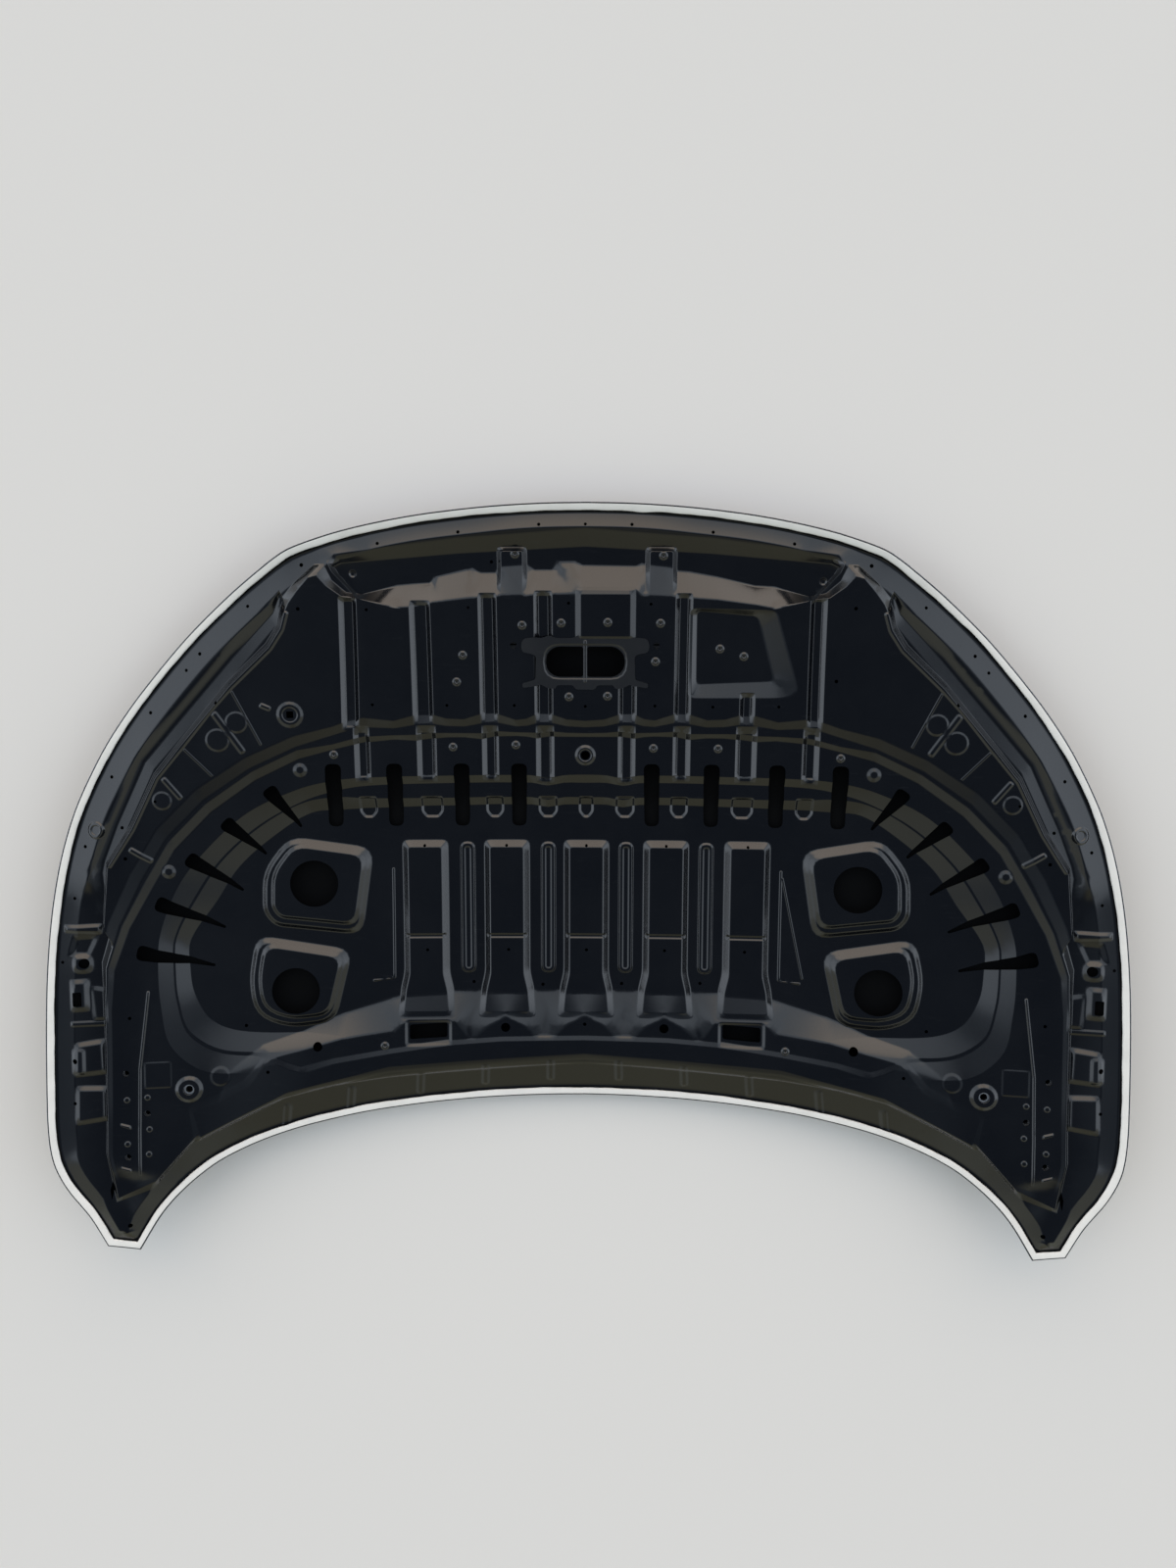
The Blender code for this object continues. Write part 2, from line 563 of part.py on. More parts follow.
def rise_share(x, y, outer, inner):
    """0 outside the outer edge, 1 inside the inner edge, and an even slope between them."""
    share = np.zeros(x.shape)
    xs = [p[0] for p in outer]
    ys = [p[1] for p in outer]
    near = (x > min(xs) - 1) & (x < max(xs) + 1) & (y > min(ys) - 1) & (y < max(ys) + 1)
    if not near.any():
        return share
    from_outer = distance_inside(x[near], y[near], outer)
    from_inner = distance_inside(x[near], y[near], inner)
    slope = from_outer / np.maximum(from_outer - from_inner, 1e-6)
    value = np.where(from_outer <= 0, 0.0, np.where(from_inner >= 0, 1.0, slope))
    share[near] = value
    return share


# Meshes

def plan_mesh(outline, holes, guides, step):
    """A flat triangle mesh inside the outline and clear of the holes, with edges along the guide loops."""
    points = []
    edges = []
    for loop in [outline] + holes + guides:
        base = len(points)
        points += [Vector(p) for p in loop]
        edges += [(base + i, base + (i + 1) % len(loop)) for i in range(len(loop))]
    grid = []
    xs = [p[0] for p in outline]
    ys = [p[1] for p in outline]
    count_x = max(2, math.ceil((max(xs) - min(xs)) / step))
    count_y = max(2, math.ceil((max(ys) - min(ys)) / step))
    for i in range(1, count_x):
        for j in range(1, count_y):
            shift = 0.25 if j % 2 else -0.25
            grid.append((min(xs) + (max(xs) - min(xs)) * (i + shift) / count_x,
                         min(ys) + (max(ys) - min(ys)) * j / count_y))
    if grid:
        gx = np.array([p[0] for p in grid])
        gy = np.array([p[1] for p in grid])
        free = distance_inside(gx, gy, outline) > step * 0.35
        for loop in holes + guides:
            free &= np.abs(distance_inside(gx, gy, loop)) > step * 0.3
        points += [Vector(p) for p, keep in zip(grid, free) if keep]
    made = delaunay_2d_cdt(points, edges, [], 0, 0.01)
    verts, faces = made[0], made[2]
    centre_x = np.array([sum(verts[i].x for i in face) / 3 for face in faces])
    centre_y = np.array([sum(verts[i].y for i in face) / 3 for face in faces])
    keep = distance_inside(centre_x, centre_y, outline) > 0
    for loop in holes:
        keep &= distance_inside(centre_x, centre_y, loop) < 0
    kept = [face for face, ok in zip(faces, keep) if ok]
    return verts, kept


def sheet_mesh(outline, holes, guides, step, under, thickness):
    """A pressed sheet: the plan mesh lifted to its form, then thickened upward."""
    verts, faces = plan_mesh(outline, holes, guides, step)
    x = np.array([v.x for v in verts])
    y = np.array([v.y for v in verts])
    z = under(x, y)
    bm = bmesh.new()
    used = sorted({i for face in faces for i in face})
    made = {i: bm.verts.new((x[i], y[i], z[i])) for i in used}
    for face in faces:
        bm.faces.new([made[i] for i in face])
    bmesh.ops.recalc_face_normals(bm, faces=bm.faces)
    if sum(face.normal.z for face in bm.faces) > 0:
        bmesh.ops.reverse_faces(bm, faces=bm.faces)
    top = bmesh.ops.extrude_face_region(bm, geom=bm.faces[:], use_keep_orig=True)
    lifted = [item for item in top["geom"] if isinstance(item, bmesh.types.BMVert)]
    bmesh.ops.translate(bm, verts=lifted, vec=(0, 0, thickness))
    bmesh.ops.recalc_face_normals(bm, faces=bm.faces)
    return bm


def make_object(name, bm, finish, origin_y):
    """The finished object, in metres and in the part's own frame."""
    bmesh.ops.translate(bm, verts=bm.verts, vec=(0, origin_y, 0))
    bmesh.ops.scale(bm, verts=bm.verts, vec=(MM, MM, MM))
    bmesh.ops.triangulate(bm, faces=bm.faces)
    mesh = bpy.data.meshes.new(name)
    bm.to_mesh(mesh)
    bm.free()
    mesh.shade_smooth()
    mesh.set_sharp_from_angle(angle=math.radians(30))
    mesh.materials.append(material(finish))
    item = bpy.data.objects.new(name, mesh)
    bpy.context.scene.collection.objects.link(item)
    return item


def ring_verts(bm, outline, distance, lift):
    """One ring of vertices along the edge, inset from it and lifted off the skin's outer face."""
    loop = inset(outline, distance)
    x = np.array([p[0] for p in loop])
    y = np.array([p[1] for p in loop])
    z = skin_under(x, y) + lift
    return [bm.verts.new((a, b, c)) for a, b, c in zip(x, y, z)]


def join_rings(bm, first, second):
    count = len(first)
    for i in range(count):
        j = (i + 1) % count
        bm.faces.new((first[i], first[j], second[j], second[i]))


def hem_lifts():
    """Heights of the hem's layers above the skin's outer face."""
    panel_low = SKIN_THICKNESS + HEM_LEVEL
    return_low = panel_low + PANEL_THICKNESS + SEAT_GAP
    return return_low, return_low + SKIN_THICKNESS


def outer_skin(outline):
    """The skin with its edge folded back over the inner panel."""
    bm = bmesh.new()
    return_low, return_top = hem_lifts()
    hem_end = HEM_ROOT + HEM_RETURN
    bottom = ring_verts(bm, outline, 0.0, SKIN_EDGE_LIFT)
    low = ring_verts(bm, outline, SKIN_EDGE_ROUND, 0.0)
    root = ring_verts(bm, outline, HEM_ROOT, SKIN_THICKNESS)
    inside = ring_verts(bm, outline, HEM_ROOT, return_low)
    lip_low = ring_verts(bm, outline, hem_end, return_low)
    lip_top = ring_verts(bm, outline, hem_end, return_top)
    crest = ring_verts(bm, outline, SKIN_EDGE_ROUND, return_top)
    edge = ring_verts(bm, outline, 0.0, return_top - SKIN_EDGE_LIFT)
    for first, second in ((root, inside), (inside, lip_low), (lip_low, lip_top), (lip_top, crest),
                          (crest, edge), (edge, bottom), (bottom, low)):
        join_rings(bm, first, second)
    for ring, inset_by, lift in ((low, SKIN_EDGE_ROUND, 0.0), (root, HEM_ROOT, SKIN_THICKNESS)):
        loop = inset(outline, inset_by)
        guides = [inset(outline, SEALER_END), inset(outline, NOSE_ROLL_WIDTH / 2)[::2]]
        verts, faces = plan_mesh(loop, [], guides, GRID_STEP)
        made = {}
        for i, v in enumerate(verts):
            if i < len(loop) and (v - Vector(loop[i])).length < 0.01:
                made[i] = ring[i]
        for face in faces:
            for i in face:
                if i not in made:
                    x = np.array([verts[i].x])
                    y = np.array([verts[i].y])
                    made[i] = bm.verts.new((verts[i].x, verts[i].y, skin_under(x, y)[0] + lift))
            bm.faces.new([made[i] for i in face])
    bmesh.ops.recalc_face_normals(bm, faces=bm.faces)
    return bm


def hem_sealer(outline):
    """The sealer bead over the hem's return and the panel's edge."""
    bm = bmesh.new()
    return_top = hem_lifts()[1]
    panel_top = SKIN_THICKNESS + HEM_LEVEL + PANEL_THICKNESS
    hem_end = HEM_ROOT + HEM_RETURN
    profile = [(SEALER_START, return_top + SEAT_GAP),
               (SEALER_START + SEALER_SHOULDER, return_top + SEALER_HEIGHT),
               (hem_end, return_top + SEALER_HEIGHT),
               (SEALER_END, panel_top + SEAT_GAP + SEALER_TOE),
               (SEALER_END, panel_top + SEAT_GAP),
               (hem_end + SEAT_GAP, panel_top + SEAT_GAP),
               (hem_end + SEAT_GAP, return_top + SEAT_GAP)]
    rings = [ring_verts(bm, outline, distance, lift) for distance, lift in profile]
    for first, second in zip(rings, rings[1:] + rings[:1]):
        join_rings(bm, first, second)
    bmesh.ops.recalc_face_normals(bm, faces=bm.faces)
    return bm


def inner_panel(outline):
    edge = inset(outline, PANEL_EDGE_INSET)
    guides = [inset(outline, SEALER_END)]
    for outer, inner, _ in land_loops()[1:]:
        guides += [resampled(outer, LAND_STEP), resampled(inner, LAND_STEP)]
    flange = land_loops()[0]
    guides += [flange[0], flange[1]]
    for outer, inner, _ in raised_forms() + rear_loops():
        guides += [resampled(outer, LAND_STEP), resampled(inner, LAND_STEP)]
    for side in (-1.0, 1.0):
        guides += [hinge_seat(side, HINGE_SEAT_MARGIN)]
    return sheet_mesh(edge, panel_holes(), guides, GRID_STEP, panel_under, PANEL_THICKNESS)


def striker_ring():
    """The plate with two windows that frames the striker."""
    top = FIELD_LEVEL + SKIN_THICKNESS + PANEL_THICKNESS + SEAT_GAP
    rim = STRIKER_RIM
    half = WINDOW_BAR / 2 + WINDOW_WIDTH
    rear = STRIKER_Y - WINDOW_LENGTH / 2
    front = STRIKER_Y + WINDOW_LENGTH / 2
    outer = rounded(rectangle(-half - rim, half + rim, rear - rim, front + rim), STRIKER_CORNER)
    window = rounded(rectangle(WINDOW_BAR / 2, half, rear, front), WINDOW_CORNER)
    windows = [window, turned_left([(-x, y) for x, y in window])]
    outer = resampled(outer, PLATE_STEP)
    return sheet_mesh(outer, windows, [], PLATE_STEP, lambda x, y: skin_under(x, y) + top, PLATE_THICKNESS)


def striker_reinforcement():
    """The plate under the inner panel that carries the striker, welded to the groove floors."""
    level = SKIN_THICKNESS + FIELD_LEVEL - GROOVE_DEPTH - SEAT_GAP - PLATE_THICKNESS
    reach = STRIKER_PLATE_REACH
    box = rectangle(-reach, reach, STRIKER_Y - STRIKER_PLATE_REAR, STRIKER_Y + STRIKER_PLATE_FRONT)
    outer = resampled(rounded(box, STRIKER_PLATE_CORNER, 2), PLATE_STEP)
    hole = resampled(striker_window_loop(0.0), PLATE_STEP)
    return sheet_mesh(outer, [hole], [], PLATE_STEP, lambda x, y: skin_under(x, y) + level, PLATE_THICKNESS)


def nose_brace():
    """The hat-section brace between the skin and the groove floors behind the nose."""
    top_level = SKIN_THICKNESS + FIELD_LEVEL - GROOVE_DEPTH - SEAT_GAP - PLATE_THICKNESS
    floor_level = SKIN_THICKNESS + BRACE_FLOOR_LEVEL
    half = BRACE_HALF_LENGTH
    rear = BRACE_FRONT - BRACE_WIDTH
    low = rear + BRACE_FLANGE
    high = BRACE_FRONT - BRACE_FLANGE

    def under(x, y):
        share = np.clip(np.minimum(y - low, high - y) / BRACE_WALL, 0, 1)
        return skin_under(x, y) + top_level + (floor_level - top_level) * share

    count = math.ceil(2 * half / BRACE_STEP)
    bm = bmesh.new()
    ys = [rear, low, low + BRACE_WALL, high - BRACE_WALL, high, BRACE_FRONT]
    grid = []
    for i in range(count + 1):
        x = -half + 2 * half * i / count
        heights = under(np.full(len(ys), x), np.array(ys))
        grid.append([bm.verts.new((x, y, z)) for y, z in zip(ys, heights)])
    for first, second in zip(grid, grid[1:]):
        for k in range(len(ys) - 1):
            bm.faces.new((first[k], first[k + 1], second[k + 1], second[k]))
    bmesh.ops.recalc_face_normals(bm, faces=bm.faces)
    if sum(face.normal.z for face in bm.faces) > 0:
        bmesh.ops.reverse_faces(bm, faces=bm.faces)
    top = bmesh.ops.extrude_face_region(bm, geom=bm.faces[:], use_keep_orig=True)
    lifted = [item for item in top["geom"] if isinstance(item, bmesh.types.BMVert)]
    bmesh.ops.translate(bm, verts=lifted, vec=(0, 0, PLATE_THICKNESS))
    bmesh.ops.recalc_face_normals(bm, faces=bm.faces)
    return bm


def hinge_plate_under(x, y):
    """Height of the hinge plate's lower face."""
    gap = SEAT_GAP + HINGE_PLATE_EASE
    return skin_under(x, y) + SKIN_THICKNESS + MID_LEVEL - gap - PLATE_THICKNESS


def hinge_seat(side, margin):
    """Outline of one hinge seat, let out by a margin."""
    outer_x = HALF_WIDTH - HINGE_SEAT_INSET
    outer = rectangle(outer_x - HINGE_SEAT_WIDTH - margin, outer_x + margin, HINGE_REAR_Y - margin,
                      HINGE_FRONT_Y + margin)
    return turned_left([(side * x, y) for x, y in resampled(outer, PLATE_STEP)])


def hinge_plate(side):
    """The thick plate under the inner panel at one hinge."""
    outer = hinge_seat(side, 0.0)
    holes = [circle(off_edge(spot, side), HINGE_HOLE_RADIUS, SMALL_HOLE_SIDES) for spot in HINGE_HOLES]
    return sheet_mesh(outer, holes, [], PLATE_STEP, hinge_plate_under, PLATE_THICKNESS)


def nut(flat, height, bore):
    """A weld nut whose top face is centred on the origin."""
    bm = bmesh.new()
    radius = flat / math.sqrt(3)
    outer = []
    inner = []
    for i in range(NUT_POINTS):
        angle = 2 * math.pi * i / NUT_POINTS
        reach = radius if i % 2 == 0 else flat / 2
        outer.append((reach * math.cos(angle), reach * math.sin(angle)))
        inner.append((bore * math.cos(angle), bore * math.sin(angle)))
    rings = []
    for points, z in ((outer, -height), (outer, 0.0), (inner, 0.0), (inner, -height)):
        rings.append([bm.verts.new((x, y, z)) for x, y in points])
    for first, second in zip(rings, rings[1:] + rings[:1]):
        join_rings(bm, first, second)
    bmesh.ops.recalc_face_normals(bm, faces=bm.faces)
    return bm


def seat_below(bm, centre, under, gap):
    """Move a piece that is centred on the origin so that its top lies flat under a surface."""
    reach = LEVEL_PROBE
    x = np.array([centre[0], centre[0] - reach, centre[0] + reach, centre[0], centre[0]])
    y = np.array([centre[1], centre[1], centre[1], centre[1] - reach, centre[1] + reach])
    z = under(x, y)
    normal = Vector((-(z[2] - z[1]) / (2 * reach), -(z[4] - z[3]) / (2 * reach), 1.0)).normalized()
    turn = Vector((0.0, 0.0, 1.0)).rotation_difference(normal).to_matrix()
    bmesh.ops.rotate(bm, verts=bm.verts, cent=(0, 0, 0), matrix=turn)
    seat = Vector((centre[0], centre[1], float(z[0]))) - normal * gap
    bmesh.ops.translate(bm, verts=bm.verts, vec=seat)
    return bm


def mastic_pad(centre):
    """One soft pad that bridges the skin and a low land of the inner panel."""
    loop = circle(centre, MASTIC_RADIUS, MASTIC_SIDES)
    x = np.array([p[0] for p in loop] + [centre[0]])
    y = np.array([p[1] for p in loop] + [centre[1]])
    low = skin_under(x, y) + SKIN_THICKNESS + SEAT_GAP
    high = panel_under(x, y) - SEAT_GAP
    bm = bmesh.new()
    bottom = [bm.verts.new(p) for p in zip(x, y, low)]
    top = [bm.verts.new(p) for p in zip(x, y, high)]
    count = len(loop)
    for i in range(count):
        j = (i + 1) % count
        bm.faces.new((bottom[i], bottom[j], top[j], top[i]))
        bm.faces.new((bottom[count], bottom[j], bottom[i]))
        bm.faces.new((top[count], top[i], top[j]))
    bmesh.ops.recalc_face_normals(bm, faces=bm.faces)
    return bm


def main():
    clear_scene()
    origin_y = (FOOT_REACH - NOSE_REACH) / 2
    outline = mirrored_loop(outline_half())
    make_object("outer_skin", outer_skin(outline), "navy_paint", origin_y)
    make_object("inner_panel", inner_panel(outline), "navy_paint", origin_y)
    make_object("hem_sealer", hem_sealer(outline), "sealer_white", origin_y)
    make_object("striker_ring", striker_ring(), "navy_paint", origin_y)
    make_object("striker_reinforcement", striker_reinforcement(), "primer_paint", origin_y)
    make_object("nose_dent_brace", nose_brace(), "primer_paint", origin_y)
    for hand, side in (("left", -1.0), ("right", 1.0)):
        make_object("hinge_reinforcement_" + hand, hinge_plate(side), "primer_paint", origin_y)
        for number, spot in enumerate(HINGE_HOLES, 1):
            body = nut(NUT_FLAT, NUT_HEIGHT, NUT_BORE)
            seat_below(body, off_edge(spot, side), hinge_plate_under, SEAT_GAP)
            make_object("hinge_weld_nut_%s_%d" % (hand, number), body, "plated_steel", origin_y)
        body = nut(STAY_NUT_FLAT, NUT_HEIGHT, STAY_NUT_BORE)
        seat_below(body, off_edge(STAY_HOLE, side), panel_under, SEAT_GAP)
        make_object("stay_weld_nut_" + hand, body, "plated_steel", origin_y)
        for number, spot in enumerate(MASTIC_SPOTS, 1):
            name = "mastic_pad_%s_%d" % (hand, number)
            make_object(name, mastic_pad(off_edge(spot, side)), "mastic_grey", origin_y)


if __name__ == "__main__":
    main()
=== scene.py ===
"""Looks of a steel car bonnet that lies on its outer skin, with its pressed inner panel up.

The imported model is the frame. The skin, the inner panel, the hem sealer and the striker ring get finer pieces that
stand for the plain ones, and the hidden plates, nuts and pads get their finishes. Plan sizes are in millimetres
from the cross line through the striker's middle region, +X right, +Y to the nose and +Z up, and they are turned into
metres in the frame's own place when a mesh is made.
"""

import json
import logging
import math
from collections.abc import Callable, Sequence
from dataclasses import dataclass, field
from enum import Enum

import bmesh
import bpy
import numpy as np
from mathutils import Matrix, Vector
from mathutils.geometry import delaunay_2d_cdt
from mathutils.kdtree import KDTree


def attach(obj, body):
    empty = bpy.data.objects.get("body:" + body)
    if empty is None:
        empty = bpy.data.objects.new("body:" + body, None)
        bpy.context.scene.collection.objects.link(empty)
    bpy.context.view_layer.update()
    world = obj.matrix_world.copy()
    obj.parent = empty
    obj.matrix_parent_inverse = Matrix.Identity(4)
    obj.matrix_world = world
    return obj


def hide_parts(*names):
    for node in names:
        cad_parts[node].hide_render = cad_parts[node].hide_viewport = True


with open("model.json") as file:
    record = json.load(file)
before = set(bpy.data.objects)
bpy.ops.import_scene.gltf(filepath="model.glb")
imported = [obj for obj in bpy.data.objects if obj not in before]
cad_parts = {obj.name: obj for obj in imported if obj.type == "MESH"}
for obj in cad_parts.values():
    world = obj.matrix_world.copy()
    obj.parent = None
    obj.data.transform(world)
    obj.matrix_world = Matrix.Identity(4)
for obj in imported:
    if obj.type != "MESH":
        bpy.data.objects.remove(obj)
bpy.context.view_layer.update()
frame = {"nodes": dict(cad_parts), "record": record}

LOG = logging.getLogger("bonnet")

Point = tuple[float, float]
Loop = list[Point]
Spots = tuple[tuple[float, float, float], ...]
Colour = tuple[float, float, float]
Stops = Sequence[tuple[float, Colour]]
Height = Callable[[np.ndarray, np.ndarray], np.ndarray]

MM = 0.001  # metres in a millimetre
ORIGIN_Y = 55.0  # how far the plan's zero lies ahead of the frame's
RING_STEP = 7.0  # spacing of the mesh points along a pad's wall
LAND_STEP = 9.0  # the same along a broad land's wall
GRID_STEP = 12.0  # the same between the walls
ROOT = "root"


class Side(Enum):
    """The two hands of the bonnet, seen from above its inner side with the nose ahead."""

    LEFT = -1.0
    RIGHT = 1.0


class Press(Enum):
    """How a form of the tool acts on the level under it."""

    TO_LEVEL = "to_level"
    BY_HEIGHT = "by_height"


class Slot(Enum):
    """Material slots of the record that the pieces take their finish from."""

    NAVY = "navy_paint"
    PRIMER = "primer_paint"
    SEALER = "sealer_white"
    STEEL = "plated_steel"
    MASTIC = "mastic_grey"


# Plan geometry

def turned_left(points: Loop) -> Loop:
    """Lists a loop counter-clockwise.

    Args:
        points: the closed loop.

    Returns:
        The same loop, counter-clockwise.
    """
    area = sum(ax * by - bx * ay for (ax, ay), (bx, by) in zip(points, points[1:] + points[:1]))
    return points if area > 0 else points[::-1]


def mirrored(points: Loop) -> Loop:
    """The points on the other side of the centre line."""
    return [(-x, y) for x, y in points]


def handed(points: Loop, side: Side) -> Loop:
    """The right-hand points, or their mirror image on the left."""
    return [(side.value * x, y) for x, y in points]


def whole_loop(half: Loop) -> Loop:
    """Closes a right-hand half, from nose centre to rear centre, with its mirror image.

    Args:
        half: the right-hand points, the first and last on the centre line.

    Returns:
        The closed loop, clockwise as it runs down the right side.
    """
    return half + [(-x, y) for x, y in half[::-1] if x > 1e-6]


def inset(points: Loop, distance: float) -> Loop:
    """Moves a counter-clockwise loop inward.

    Args:
        points: the closed loop, counter-clockwise.
        distance: how far it moves, negative outward.

    Returns:
        The moved loop, point for point.
    """
    out = []
    count = len(points)
    for k in range(count):
        here = Vector(points[k])
        back = (here - Vector(points[k - 1])).normalized()
        ahead = (Vector(points[(k + 1) % count]) - here).normalized()
        normal = Vector((-back.y - ahead.y, back.x + ahead.x))
        normal = normal / max(normal.length_squared / 2, 0.35)
        out.append((here.x + normal.x * distance, here.y + normal.y * distance))
    return out


def rounded(points: Loop, radius: float, steps: int = 4) -> Loop:
    """Rounds every corner of a polygon.

    Args:
        points: the closed polygon.
        radius: distance along each edge at which a corner starts to turn.
        steps: pieces of each corner's curve.

    Returns:
        The rounded loop, with the same number of points for the same number of corners.
    """
    out = []
    count = len(points)
    for k in range(count):
        here = Vector(points[k])
        back = Vector(points[k - 1]) - here
        ahead = Vector(points[(k + 1) % count]) - here
        reach = min(radius, back.length * 0.48, ahead.length * 0.48)
        start = here + back.normalized() * reach
        end = here + ahead.normalized() * reach
        for i in range(steps + 1):
            t = i / steps
            at = start * (1 - t) ** 2 + here * 2 * t * (1 - t) + end * t ** 2
            out.append((at.x, at.y))
    return out


def rectangle(left: float, right: float, rear: float, front: float) -> Loop:
    """A rectangle, counter-clockwise."""
    return [(left, rear), (right, rear), (right, front), (left, front)]


def circle(centre: Point, radius: float, sides: int = 16) -> Loop:
    """A round loop, counter-clockwise."""
    turn = 2 * math.pi / sides
    return [(centre[0] + radius * math.cos(turn * i), centre[1] + radius * math.sin(turn * i)) for i in range(sides)]


def on_curve(before: Vector, start: Vector, end: Vector, after: Vector, t: float) -> Vector:
    """A point on the smooth curve between two points.

    Args:
        before: the point ahead of the start.
        start: the curve's start.
        end: the curve's end.
        after: the point past the end.
        t: how far along, from 0 to 1.

    Returns:
        The point.
    """
    length = (end - start).length
    lean_in = (end - before).normalized() * length
    lean_out = (after - start).normalized() * length
    return (start * (2 * t ** 3 - 3 * t ** 2 + 1) + lean_in * (t ** 3 - 2 * t ** 2 + t)
            + end * (3 * t ** 2 - 2 * t ** 3) + lean_out * (t ** 3 - t ** 2))


def stretched_pair(outer: Loop, inner: Loop, step: float, curved: bool) -> tuple[Loop, Loop]:
    """Divides two loops that match point for point, so that they still match.

    Args:
        outer: the outer closed loop.
        inner: the inner closed loop, with as many points.
        step: the longest edge wanted.
        curved: whether the edges follow a smooth curve through the points.

    Returns:
        Both divided loops.
    """
    made: tuple[Loop, Loop] = ([], [])
    count = len(outer)
    for k in range(count):
        ends = [(Vector(loop[k - 1]), Vector(loop[k]), Vector(loop[(k + 1) % count]), Vector(loop[(k + 2) % count]))
                for loop in (outer, inner)]
        longest = max((e[2] - e[1]).length for e in ends)
        pieces = max(1, round(longest / step))
        for i in range(pieces):
            t = i / pieces
            for out, (before, start, end, after) in zip(made, ends):
                at = on_curve(before, start, end, after, t) if curved else start + (end - start) * t
                out.append((at.x, at.y))
    return made


def inside_loop(x: np.ndarray, y: np.ndarray, loop: Loop) -> np.ndarray:
    """Tells which points lie inside a closed loop.

    Args:
        x: the points' X.
        y: the points' Y.
        loop: the closed loop.

    Returns:
        True for each point inside.
    """
    inside = np.zeros(x.shape, bool)
    for (ax, ay), (bx, by) in zip(loop, loop[1:] + loop[:1]):
        if abs(by - ay) > 1e-9:
            inside ^= ((ay > y) != (by > y)) & (x < (bx - ax) * (y - ay) / (by - ay) + ax)
    return inside


def distance_to(x: np.ndarray, y: np.ndarray, loop: Loop) -> np.ndarray:
    """Distance from each point to a closed loop's line."""
    nearest = np.full(x.shape, 1e9)
    for (ax, ay), (bx, by) in zip(loop, loop[1:] + loop[:1]):
        dx, dy = bx - ax, by - ay
        t = np.clip(((x - ax) * dx + (y - ay) * dy) / max(dx * dx + dy * dy, 1e-9), 0, 1)
        nearest = np.minimum(nearest, (x - ax - t * dx) ** 2 + (y - ay - t * dy) ** 2)
    return np.sqrt(nearest)


def blended(x: np.ndarray, y: np.ndarray, spots: Spots) -> np.ndarray:
    """The value at each point, blended from the key spots of the right half by nearness.

    Args:
        x: X of each point, either half.
        y: Y of each point.
        spots: X, Y and value of each key spot.

    Returns:
        One value for each point.
    """
    weights = [1 / ((np.abs(x) - spot[0]) ** 2 + (y - spot[1]) ** 2 + 25.0) ** 2 for spot in spots]
    return sum(weight * spot[2] for weight, spot in zip(weights, spots)) / sum(weights)


@dataclass(frozen=True)
class Form:
    """One form of the pressing tool: a land, pad, bead or groove with an even wall round it.

    Attributes:
        outer: where its wall starts.
        inner: where its wall ends, matching outer point for point.
        height: the level that it reaches, or the height that it adds.
        press: which of the two.
        fillet: share of the wall's width that its foot and its crown take to turn.
        far_height: the height at far_x and beyond, where it fades along X.
        near_x: distance from the centre line up to which the height holds.
        far_x: distance from the centre line at which it has faded.
        spots: key spots that give the height in place of the one number.
    """

    outer: Loop
    inner: Loop
    height: float
    press: Press = Press.TO_LEVEL
    fillet: float = 0.28
    far_height: float | None = None
    near_x: float = 0.0
    far_x: float = 1.0
    spots: Spots = ()

    def share(self, x: np.ndarray, y: np.ndarray) -> np.ndarray:
        """How far the wall has risen at each point, from 0 outside it to 1 inside it."""
        share = np.zeros(x.shape)
        xs, ys = [p[0] for p in self.outer], [p[1] for p in self.outer]
        near = np.flatnonzero((x > min(xs)) & (x < max(xs)) & (y > min(ys)) & (y < max(ys)))
        if not len(near):
            return share
        px, py = x[near], y[near]
        within = inside_loop(px, py, self.outer)
        top = within & inside_loop(px, py, self.inner)
        wall = np.flatnonzero(within & ~top)
        value = np.where(top, 1.0, 0.0)
        if len(wall):
            away = distance_to(px[wall], py[wall], self.outer)
            left = distance_to(px[wall], py[wall], self.inner)
            value[wall] = self.profile(away / np.maximum(away + left, 1e-6))
        share[near] = value
        return share

    def profile(self, t: np.ndarray) -> np.ndarray:
        """The wall's section: a flat slope with a round foot and a round crown."""
        r = self.fillet
        slope = 1 / (1 - r)
        low = slope * t * t / (2 * r)
        high = 1 - slope * (1 - t) ** 2 / (2 * r)
        return np.where(t < r, low, np.where(t > 1 - r, high, slope * (t - r / 2)))

    def applied(self, level: np.ndarray, x: np.ndarray, y: np.ndarray) -> np.ndarray:
        """The levels after this form has been pressed into them."""
        share = self.share(x, y)
        height: np.ndarray | float = self.height
        if self.far_height is not None:
            t = np.clip((np.abs(x) - self.near_x) / (self.far_x - self.near_x), 0, 1)
            height = self.height + (self.far_height - self.height) * t * t * (3 - 2 * t)
        if self.spots:
            height = blended(x, y, self.spots)
        if self.press is Press.TO_LEVEL:
            return level + (height - level) * share
        return level + height * share

    def rings(self) -> list[Loop]:
        """The mesh's guide lines along the wall."""
        width = min(math.dist(a, b) for a, b in zip(self.outer, self.inner))
        shares = [0.0, self.fillet, 1 - self.fillet, 1.0] if width > 3.0 else [0.0, 0.5, 1.0]
        out = []
        for s in shares:
            out.append([(a[0] + (b[0] - a[0]) * s, a[1] + (b[1] - a[1]) * s) for a, b in zip(self.outer, self.inner)])
        return out


def land(outer: Loop, inner: Loop, level: float, curved: bool = True, fillet: float = 0.28) -> Form:
    """A broad land from two loops that match point for point."""
    return Form(*stretched_pair(outer, inner, LAND_STEP, curved), level, Press.TO_LEVEL, fillet)


